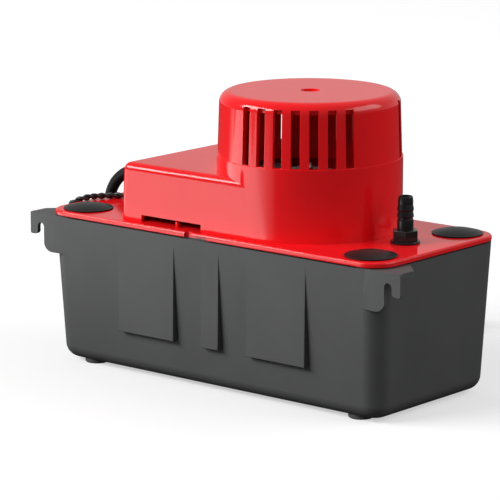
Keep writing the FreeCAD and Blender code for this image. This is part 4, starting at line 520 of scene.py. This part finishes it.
def dome(name, wall, roof, shoulder, low):
    """The round of the cover: a drum, a small step, a leaning upper drum and a soft shoulder."""
    base = dome_radius - wall
    bpy.ops.mesh.primitive_cylinder_add(vertices=dome_sides, radius=base, depth=step_height - low,
                                        location=(motor_x, motor_y, (step_height + low) / 2))
    piece = bpy.context.object
    piece.name = name
    bpy.ops.object.transform_apply(location=True, rotation=True, scale=True)
    edit(piece)
    choose(piece, "FACE", lambda middle, normal: normal.z > 0.9)
    bpy.ops.mesh.inset(thickness=dome_step, depth=0.0)
    top = dome_top - roof
    bpy.ops.mesh.extrude_region_move(TRANSFORM_OT_translate={"value": (0.0, 0.0, top - step_height)})
    lean = (base - dome_lean) / (base - dome_step)
    bpy.ops.transform.resize(value=(lean, lean, 1.0), center_override=(motor_x, motor_y, top))
    choose(piece, "EDGE", lambda a, b: min(a.z, b.z) > top - 1e-5)
    bpy.ops.mesh.bevel(offset=shoulder, segments=12, affect="EDGES")
    leave()
    return piece


def long_box(name, wall, low, high):
    """The low box: its end leans a little, with rounded corners and a rounded top edge."""
    piece = brick(name, (box_left + wall, motor_y - box_half_depth + wall, low),
                  (motor_x, motor_y + box_half_depth - wall, high))
    edit(piece)
    choose(piece, "VERT", lambda corner: corner.z > high - 1e-5 and corner.x < 0.0)
    bpy.ops.transform.translate(value=(box_lean, 0.0, 0.0))
    choose(piece, "EDGE", lambda a, b: abs(a.z - b.z) > 0.01 and max(a.x, b.x) < 0.0)
    bpy.ops.mesh.bevel(offset=box_corner - wall, segments=8, affect="EDGES")
    choose(piece, "EDGE", lambda a, b: min(a.z, b.z) > high - 1e-5 and min(a.x, b.x) < motor_x - overshoot)
    bpy.ops.mesh.bevel(offset=box_edge - wall, segments=7, affect="EDGES")
    leave()
    return piece


cover = dome("motor_cover_moulding", 0.0, 0.0, dome_shoulder, deck)
carve(cover, long_box("cover_box", 0.0, deck, box_top), "UNION")
hollow = dome("dome_room", cover_wall, roof_wall, room_shoulder, deck - overshoot)
carve(hollow, long_box("box_room", cover_wall, deck - overshoot, box_top - cover_wall), "UNION")
carve(cover, hollow)
collar_in, collar_out, collar_low, collar_high = 0.0530, 0.0560, 0.1846, 0.1890
collar_profile = [(collar_in, collar_low), (collar_out, collar_low), (collar_out, collar_high),
                  (collar_in, collar_high), (collar_in, collar_low)]
carve(cover, turned_form("roof_collar", collar_profile, (motor_x, motor_y), 128), "UNION")
slot_half, slot_in, slot_out, slot_low, slot_high = 0.002825, 0.0548, 0.0650, 0.1508, 0.1876
slot_groups, slots_each, first_group, group_turn, slot_turn = 3, 7, 30.0, 120.0, 11.4
slot_reach = slots_each // 2
slots = []
for group in range(slot_groups):
    for number in range(slots_each):
        bearing = math.radians(first_group + group_turn * group + slot_turn * (number - slot_reach))
        tool = brick("slot_tool", (-slot_half, -slot_out, slot_low), (slot_half, -slot_in, slot_high))
        tool.data.transform(Matrix.Translation((motor_x, motor_y, 0.0)) @ Matrix.Rotation(bearing, 4, "Z"))
        slots.append(tool)
bpy.ops.object.select_all(action="DESELECT")
for tool in slots:
    tool.select_set(True)
bpy.context.view_layer.objects.active = slots[0]
bpy.ops.object.join()
carve(cover, slots[0])
edit(cover)


def slot_rim(a, b):
    """The outer edges of the slots, along their sides and across their ends."""
    if min(a.z, b.z) <= slot_low - 0.0002 or max(a.z, b.z) >= slot_high + 0.0002:
        return False
    out_a, out_b = Vector((a.x - motor_x, a.y - motor_y)), Vector((b.x - motor_x, b.y - motor_y))
    if min(out_a.length, out_b.length) < dome_radius - cover_wall + 0.0001:
        return False
    for end in (out_a, out_b):
        bearing = math.degrees(math.atan2(end.x, -end.y)) % group_turn - first_group
        number = round(bearing / slot_turn)
        aside = end.length * math.sin(math.radians(bearing - slot_turn * number))
        on_side = abs(abs(aside) - slot_half) < 2e-5
        level = min(abs(a.z - slot_low) + abs(b.z - slot_low), abs(a.z - slot_high) + abs(b.z - slot_high))
        if abs(number) > slot_reach or abs(aside) > slot_half + 2.5e-5 or not (on_side or level < 4e-5):
            return False
    return True


slot_edge = 0.00024
choose(cover, "EDGE", slot_rim)
bpy.ops.mesh.bevel(offset=slot_edge, segments=2, affect="EDGES", clamp_overlap=False)
leave()
roof_hole_profile = [(0.0031, 0.1850), (0.0031, 0.1895), (0.0060, 0.1895), (0.0060, 0.1917),
                     (0.0064, 0.1921), (0.0064, 0.1930)]
carve(cover, turned_form("top_hole", roof_hole_profile, (motor_x, motor_y), 64))
notch_left, notch_right, notch_front, notch_back, notch_top = -0.0610, -0.0100, -0.0580, -0.0524, 0.1080
carve(cover, brick("tab_notch", (notch_left, notch_front, deck - overshoot),
                   (notch_right, notch_back, notch_top)))
hole_start, hole_length, relief_hole, leads_hole = -0.0820, 0.0100, 0.0066, 0.0030
for line_start, radius in ((cord_exit, relief_hole), (lead_points[0], leads_hole)):
    tool = turned_form("wall_hole", [(radius, 0.0), (radius, hole_length)], (0.0, 0.0), 40)
    turn_to(tool, (hole_start, *line_start[1:]), 1)
    carve(cover, tool)
smooth(cover)
red = finish("cover_red_gloss", (0.84, 0.008, 0.012), 0.115, 0.0035, 0.00001, uneven=0.03)
red.node_tree.nodes["Principled BSDF"].inputs["IOR"].default_value = 1.42
cover.data.materials.append(red)
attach(cover, "housing")
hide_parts("motor_cover")


# Lid: a glossy red plate over the whole tank, with a rib that drops inside the rim, a pry
# notch in its front edge, posts for the motor, a guide for the push rod and the valve's socket.
lid_half_length, lid_half_width, lid_under = 0.1400, 0.0640, 0.1000
lid_corner, lid_top_edge, lid_low_edge = 0.0165, 0.0014, 0.0006
lid = brick("lid_moulding", (-lid_half_length, -lid_half_width, lid_under),
            (lid_half_length, lid_half_width, deck))
edit(lid)
choose(lid, "EDGE", lambda a, b: abs(a.z - b.z) > 0.003)
bpy.ops.mesh.bevel(offset=lid_corner, segments=20, affect="EDGES")
choose(lid, "EDGE", lambda a, b: min(a.z, b.z) > deck - 1e-5)
bpy.ops.mesh.bevel(offset=lid_top_edge, segments=6, affect="EDGES")
choose(lid, "EDGE", lambda a, b: max(a.z, b.z) < lid_under + 1e-5)
bpy.ops.mesh.bevel(offset=lid_low_edge, segments=3, affect="EDGES")
leave()
rib_half_length, rib_half_width, rib_wall, rib_low, rib_corner = 0.1357, 0.0597, 0.0018, 0.0940, 0.0104
room_half_length, room_half_width = rib_half_length - rib_wall, rib_half_width - rib_wall
rib = brick("lid_rib", (-rib_half_length, -rib_half_width, rib_low),
            (rib_half_length, rib_half_width, 0.1005))
room_in_rib = brick("rib_room", (-room_half_length, -room_half_width, rib_low - overshoot),
                    (room_half_length, room_half_width, lid_under))
for form, corner in ((rib, rib_corner), (room_in_rib, rib_corner - rib_wall)):
    edit(form)
    choose(form, "EDGE", lambda a, b: abs(a.z - b.z) > 0.003)
    bpy.ops.mesh.bevel(offset=corner, segments=10, affect="EDGES")
    leave()
carve(rib, room_in_rib)
carve(lid, rib, "UNION")
post_reach, inlet_x, inlet_y, valve_x, rod_x, tab_x = 0.0170, 0.1186, 0.0450, 0.1110, -0.0300, -0.0311
corners = [(side_x, side_y) for side_x in (-1, 1) for side_y in (-1, 1)]
for side_x, side_y in corners:
    post = turned_form("motor_post", [(0.0046, 0.1025), (0.0046, 0.1057), (0.0043, 0.1060)],
                       (motor_x + side_x * post_reach, motor_y + side_y * post_reach), 36)
    carve(lid, post, "UNION")
carve(lid, turned_form("valve_socket", [(0.0120, 0.0840), (0.0120, 0.1005)], (valve_x, 0.0), 64), "UNION")
carve(lid, turned_form("rod_guide", [(0.0050, 0.0920), (0.0050, 0.1080)], (rod_x, 0.0), 48), "UNION")
carve(lid, turned_form("tab_nub", [(0.0013, 0.1025), (0.0013, 0.1069), (0.0009, 0.1073)],
                       (tab_x, -0.0549), 24), "UNION")
# Each hole's radius, place and number of sides: plugs, motor screws, shaft, push rod and water.
lid_holes = [(0.0140, side_x * inlet_x, side_y * inlet_y, 64) for side_x, side_y in corners]
lid_holes += [(0.00205, motor_x + side_x * post_reach, motor_y + side_y * post_reach, 32)
              for side_x, side_y in corners]
lid_holes += [(0.0080, motor_x, motor_y, 48), (0.00258, rod_x, 0.0, 32), (0.0040, valve_x, 0.0, 40)]
for radius, hole_x, hole_y, sides in lid_holes:
    carve(lid, turned_form("lid_hole", [(radius, 0.0800), (radius, 0.1120)], (hole_x, hole_y), sides))
carve(lid, turned_form("thread_hole", [(0.00745, 0.0945), (0.00745, 0.1060)], (valve_x, 0.0), 64))
pry_x, pry_end, pry_low = -0.0146, 0.0008, 0.0990
carve(lid, turned_form("pry_notch", [(0.0030, pry_low), (0.0030, 0.1050)], (pry_x, -lid_half_width), 48))
carve(lid, brick("pry_slot", (pry_x, -0.0650, pry_low), (pry_end, -0.0610, 0.1022)))
smooth(lid)
lid.data.materials.append(red)
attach(lid, "housing")
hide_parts("tank_cover")


# Tank: an open box in dark grey plastic with a fine matte skin, 2.5 mm walls that lean in
# towards the floor, plumb panels on both long sides, two wall hooks and four low feet.
tank_half_length, tank_half_width, tank_floor, tank_wall = 0.1388, 0.0628, 0.0022, 0.0025
end_lean, side_lean, lean_height = 0.0038, 0.0052, 0.0978
tank_corner, tank_low_edge = 0.0128, 0.0090


def tank_form(name, inset, low, high):
    """The tank's leaning box between two heights, inset by its wall."""
    def half(z, rim, lean):
        """Half of a side at a height."""
        return rim - lean * (lid_under - z) / lean_height - inset

    wide, deep = half(high, tank_half_length, end_lean), half(high, tank_half_width, side_lean)
    low_wide, low_deep = half(low, tank_half_length, end_lean), half(low, tank_half_width, side_lean)
    piece = brick(name, (-wide, -deep, low), (wide, deep, high))
    edit(piece)
    choose(piece, "FACE", lambda middle, normal: normal.z < -0.9)
    bpy.ops.transform.resize(value=(low_wide / wide, low_deep / deep, 1.0), center_override=(0.0, 0.0, low))
    choose(piece, "EDGE", lambda a, b: abs(a.z - b.z) > 0.02)
    bpy.ops.mesh.bevel(offset=tank_corner - inset, segments=14, affect="EDGES")
    choose(piece, "EDGE", lambda a, b: max(a.z, b.z) < low + 1e-5)
    bpy.ops.mesh.bevel(offset=tank_low_edge - inset, segments=9, affect="EDGES")
    leave()
    return piece


hook_root, hook_bend, hook_end, hook_front, hook_back = 0.1210, 0.1330, 0.1550, -0.0628, -0.0600
hook_low, finger_low, hook_top = 0.0740, 0.0848, 0.0996
hook_slot_left, hook_slot_right, arch_x, arch_z, arch_radius = 0.1428, 0.1485, 0.14565, 0.09015, 0.00285
cut_front, cut_back = -0.0700, -0.0500
web_front, web_back, web_low, web_end = -0.0622, -0.0365, 0.0958, 0.1546
root_sink, root_low_sink = 0.0004, 0.0014     # how far the root blends into the leaning wall


def hook(side):
    """A wall hook: a plumb plate with an open slot, and the web behind it."""
    plate = brick("hook_plate", (hook_root, hook_front, hook_low), (hook_end, hook_back, hook_top))
    edit(plate)
    bpy.ops.mesh.select_all(action="SELECT")
    bpy.ops.mesh.bisect(plane_co=(hook_bend, 0.0, 0.0), plane_no=(1.0, 0.0, 0.0))
    choose(plate, "VERT", lambda corner: corner.x < hook_root + 1e-4 and corner.y < hook_front + 1e-4)
    bpy.ops.transform.translate(value=(0.0, root_sink, 0.0))
    choose(plate, "VERT", lambda corner: corner.x < hook_root + 1e-4 and corner.y < hook_front + 8e-4
           and corner.z < hook_low + 1e-4)
    bpy.ops.transform.translate(value=(0.0, root_low_sink, 0.0))
    leave()
    carve(plate, brick("below_finger", (hook_slot_left, cut_front, 0.0700),
                       (hook_end + overshoot, cut_back, finger_low)))
    carve(plate, brick("slot", (hook_slot_left, cut_front, 0.0800), (hook_slot_right, cut_back, arch_z)))
    arch = turned_form("slot_arch", [(arch_radius, -0.0050), (arch_radius, 0.0150)], (0.0, 0.0), 40)
    lying = Matrix.Rotation(math.radians(90.0), 4, "X")
    arch.data.transform(Matrix.Translation((arch_x, -0.0560, arch_z)) @ lying)
    carve(plate, arch)
    edit(plate)
    for corner_x, corner_z, size, steps in (
            (hook_slot_left, hook_low, 0.0070, 8), (hook_slot_right, finger_low, 0.0026, 5),
            (hook_end, finger_low, 0.0010, 3), (hook_end, hook_top, 0.0008, 3)):
        choose(plate, "EDGE", lambda a, b: all(
            abs(end.x - corner_x) < 1e-5 and abs(end.z - corner_z) < 1e-5 for end in (a, b)))
        bpy.ops.mesh.bevel(offset=size, segments=steps, affect="EDGES")
    leave()
    web = brick("hook_web", (hook_root, web_front, web_low), (web_end, web_back, hook_top))
    edit(web)
    bpy.ops.mesh.select_all(action="SELECT")
    bpy.ops.mesh.bisect(plane_co=(0.1530, -0.0470, 0.0970), plane_no=(1.0, 1.0, 0.0),
                        use_fill=True, clear_outer=True)
    choose(web, "EDGE", lambda a, b: abs(a.z - b.z) > 0.003 and min(a.x, b.x) > 0.15)
    bpy.ops.mesh.bevel(offset=0.0010, segments=3, affect="EDGES")
    leave()
    carve(plate, web, "UNION")
    modify(plate, "BEVEL", width=0.00035, segments=2, limit_method="ANGLE", angle_limit=math.radians(40.0))
    if side < 0:
        plate.data.transform(Matrix.Scale(-1.0, 4, (1.0, 0.0, 0.0)))
        plate.data.flip_normals()
    return plate


shoulder_height, rim_half_length, rim_half_width, rim_corner = 0.0990, 0.1373, 0.0613, 0.0113
tank = tank_form("tank_moulding", 0.0, tank_floor, shoulder_height)
rim = brick("tank_rim", (-rim_half_length, -rim_half_width, shoulder_height - overshoot),
            (rim_half_length, rim_half_width, lid_under))
edit(rim)
choose(rim, "EDGE", lambda a, b: abs(a.z - b.z) > 0.001)
bpy.ops.mesh.bevel(offset=rim_corner, segments=14, affect="EDGES")
leave()
carve(tank, rim, "UNION")
panels = ((-0.0520, 0.0480), (0.0025, 0.0150), (0.0570, 0.0480))     # middle and width
panel_in, panel_out, panel_low, panel_high = 0.0551, 0.0632, 0.0295, 0.0960
panel_lean, panel_edge = 0.00070, 0.0006
foot_x, foot_y = 0.1120, 0.0450
for side in (-1, 1):
    low_y, high_y = sorted((side * panel_in, side * panel_out))
    for middle, width in panels:
        panel = brick("tank_panel", (middle - width / 2, low_y, panel_low),
                      (middle + width / 2, high_y, panel_high))
        edit(panel)
        choose(panel, "VERT", lambda corner: corner.y * side > panel_out - 2e-4
               and corner.z > panel_high - 1e-4)
        bpy.ops.transform.translate(value=(0.0, -side * panel_lean, 0.0))
        choose(panel, "EDGE", lambda a, b: min(a.y * side, b.y * side) > panel_out - 8e-4
               and min(a.z, b.z) < panel_high - 1e-4)
        bpy.ops.mesh.bevel(offset=panel_edge, segments=3, affect="EDGES")
        leave()
        carve(tank, panel, "UNION")
    carve(tank, hook(side), "UNION")
    for end in (-1, 1):
        foot = turned_form("tank_foot", [(0.0074, 0.0), (0.0080, 0.0006), (0.0080, 0.0040)],
                           (side * foot_x, end * foot_y), 48)
        carve(tank, foot, "UNION")
carve(tank, tank_form("tank_room", tank_wall, tank_floor + tank_wall, lid_under + overshoot))
smooth(tank)
grey = finish("tank_grey_skin", (0.080, 0.081, 0.082), 0.50, 0.0005, 0.00012, uneven=0.05, specular=0.3)
tank.data.materials.append(grey)
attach(tank, "housing")
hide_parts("tank")


# Inlet plugs: four soft domed caps, satin black, each snapped into a hole near a corner of
# the lid by a hollow skirt below its lip.
crown_reach, crown_rise, crown_steps, lip_height = 0.0155, 0.0026, 12, 0.1045
crown_radius = (crown_reach ** 2 + crown_rise ** 2) / (2 * crown_rise)
plug_profile = [(0.0121, 0.1035), (0.0121, 0.0925), (0.0134, 0.0925), (0.0139, 0.0933),
                (0.0139, 0.1035), (0.0157, 0.1035), (0.0165, 0.1040), (0.0165, 0.1042),
                (0.0163, 0.1044), (0.0159, 0.1045), (0.0156, 0.1045)]
for number in range(crown_steps):
    out = crown_reach * math.cos(math.radians(90.0 * number / crown_steps))
    rise = math.sqrt(crown_radius ** 2 - out ** 2) - crown_radius + crown_rise
    plug_profile.append((out, lip_height + rise))
plug_profile.append((0.0, lip_height + crown_rise))
plug_black = finish("plug_black_satin", (0.011, 0.0115, 0.012), 0.36, 0.0008, 0.00004, specular=0.2)
for row, side_y in (("front", -1), ("rear", 1)):
    for column, side_x in (("left", -1), ("right", 1)):
        cap = turned_form("cap_" + row + "_" + column, plug_profile,
                          (side_x * inlet_x, side_y * inlet_y), 96)
        smooth(cap, 40.0)
        cap.data.materials.append(plug_black)
        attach(cap, "housing")
        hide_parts("inlet_plug_" + row + "_" + column)


# Check valve: a glossy black moulding screwed into the lid, with a flange, a hexagon for a
# spanner and a stepped end for the hose. The ball in it is a solid of the frame.
barb_radii, barb_start, barb_pitch, barb_waist = (0.0054, 0.00535, 0.00495), 0.1196, 0.0043, 0.0048
spanner_width, hexagon_height, hexagon_z, hexagon_turn = 0.0150, 0.0068, 0.1086, 42.0
valve_profile = [(0.0068, 0.0950), (0.0074, 0.0956), (0.0074, deck), (0.0092, deck), (0.0095, 0.1038),
                 (0.0095, 0.1047), (0.0090, 0.1052), (0.0060, 0.1052), (0.0060, 0.1120),
                 (0.0052, 0.1120), (0.0052, 0.1181), (0.0047, barb_start)]
for number, wide in enumerate(barb_radii):
    foot = barb_start + barb_pitch * number
    valve_profile += [(wide - 0.0001, foot + 0.0008), (wide, foot + 0.0011),
                      (min(wide - 0.0003, barb_waist), foot + barb_pitch)]
valve_profile += [(0.0046, 0.1330), (0.0042, 0.1335)]
valve = turned_form("check_valve_moulding", valve_profile, (valve_x, 0.0), 72)
bpy.ops.mesh.primitive_cylinder_add(vertices=6, radius=spanner_width / math.sqrt(3), depth=hexagon_height,
                                    location=(valve_x, 0.0, hexagon_z))
hexagon = bpy.context.object
hexagon.data.transform(Matrix.Rotation(math.radians(hexagon_turn), 4, "Z"))
bpy.ops.object.transform_apply(location=True, rotation=True, scale=True)
modify(hexagon, "BEVEL", width=0.0004, segments=2, limit_method="ANGLE", angle_limit=math.radians(40.0))
carve(valve, hexagon, "UNION")
carve(valve, turned_form("valve_bore", [(0.0037, 0.0995), (0.0037, 0.1331), (0.0041, 0.1340)],
                         (valve_x, 0.0), 48))
carve(valve, turned_form("valve_chamber", [(0.0049, 0.0995), (0.0049, 0.1095)], (valve_x, 0.0), 48))
carve(valve, turned_form("valve_inlet", [(0.0030, 0.0940), (0.0030, 0.1000)], (valve_x, 0.0), 48))
smooth(valve)
valve.data.materials.append(finish("valve_black_gloss", (0.009, 0.009, 0.0095), 0.20, 0.0012, 0.00003,
                                   specular=0.35))
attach(valve, "housing")
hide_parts("check_valve_body")


# Inner pieces: the motor, pump, float and switches, with the screws, bearings and blades. The
# solids of the frame keep their own shapes, each in the finish of what the real piece is made of.
inner_finishes = [
    (finish("pipe_black_satin", (0.03, 0.03, 0.032), 0.45, 0.0008, 0.00005), ["discharge_pipe"]),
    (finish("pump_black_satin", (0.035, 0.035, 0.037), 0.50, 0.0007, 0.00008),
     ["pump_casing", "pump_plate", "float_hanger", "float_arm"]),
    (finish("switch_case_black", (0.03, 0.03, 0.03), 0.42, 0.0006, 0.00005),
     ["pump_switch", "overflow_switch"]),
    (finish("button_red_satin", (0.5, 0.03, 0.02), 0.40, 0.0006, 0.00003),
     ["pump_switch_button", "overflow_switch_button"]),
    (finish("impeller_white_satin", (0.75, 0.74, 0.70), 0.42, 0.0010, 0.00004),
     ["impeller", "push_rod"]),
    (finish("bobbin_black_satin", (0.03, 0.03, 0.03), 0.45, 0.0009, 0.00004), ["coil_bobbin"]),
    (finish("float_foam_skin", (0.75, 0.72, 0.62), 0.85, 0.0011, 0.00025, uneven=0.10), ["float"]),
    (finish("coil_tape_black", (0.020, 0.019, 0.018), 0.42, 0.0040, 0.00012, uneven=0.18,
            stretch=(1.0, 1.0, 9.0)), ["motor_coil"]),
    (finish("iron_sheet_edges", (0.20, 0.20, 0.21), 0.42, 0.0020, 0.00015, metallic=0.9, uneven=0.22,
            stretch=(0.3, 0.3, 4.0)), ["stator_stack", "rotor_core"]),
    (finish("aluminium_cast", (0.60, 0.61, 0.62), 0.45, 0.0008, 0.00010, metallic=1.0, uneven=0.08),
     ["rotor_end_rings", "lower_bracket", "upper_bracket"]),
    (finish("zinc_plate", (0.60, 0.60, 0.58), 0.34, 0.0015, 0.00003, metallic=1.0, uneven=0.07),
     ["cover_screws", "pump_screws", "motor_bolts", "hanger_screws", "switch_frame", "switch_screws",
      "frame_screws"]),
    (finish("steel_ground", (0.65, 0.65, 0.66), 0.22, 0.0009, 0.00002, metallic=1.0, uneven=0.05,
            stretch=(1.0, 1.0, 6.0)),
     ["motor_shaft", "float_pin", "pump_switch_lever", "overflow_switch_lever", "lever_pins",
      "check_ball"]),
    (finish("brass_turned", (0.65, 0.48, 0.20), 0.30, 0.0010, 0.00003, metallic=1.0, uneven=0.07),
     ["impeller_nut", "lower_bearing", "upper_bearing"]),
    (finish("blade_plating", (0.70, 0.60, 0.35), 0.22, 0.0012, 0.00002, metallic=1.0, uneven=0.06),
     ["plug_blades"]),
    (finish("copper_strands", (0.70, 0.32, 0.18), 0.35, 0.0006, 0.00010, metallic=1.0, uneven=0.12,
            stretch=(0.4, 3.0, 3.0)), ["lead_tips"]),
    (finish("rubber_black", (0.02, 0.02, 0.02), 0.60, 0.0005, 0.00006),
     ["check_valve_seal", "shaft_slinger", "leads_grommet"]),
]
for material, members in inner_finishes:
    for member in members:
        slots_of = nodes[member].material_slots
        if not slots_of:
            nodes[member].data.materials.append(material)
        for place in slots_of:
            place.material = material
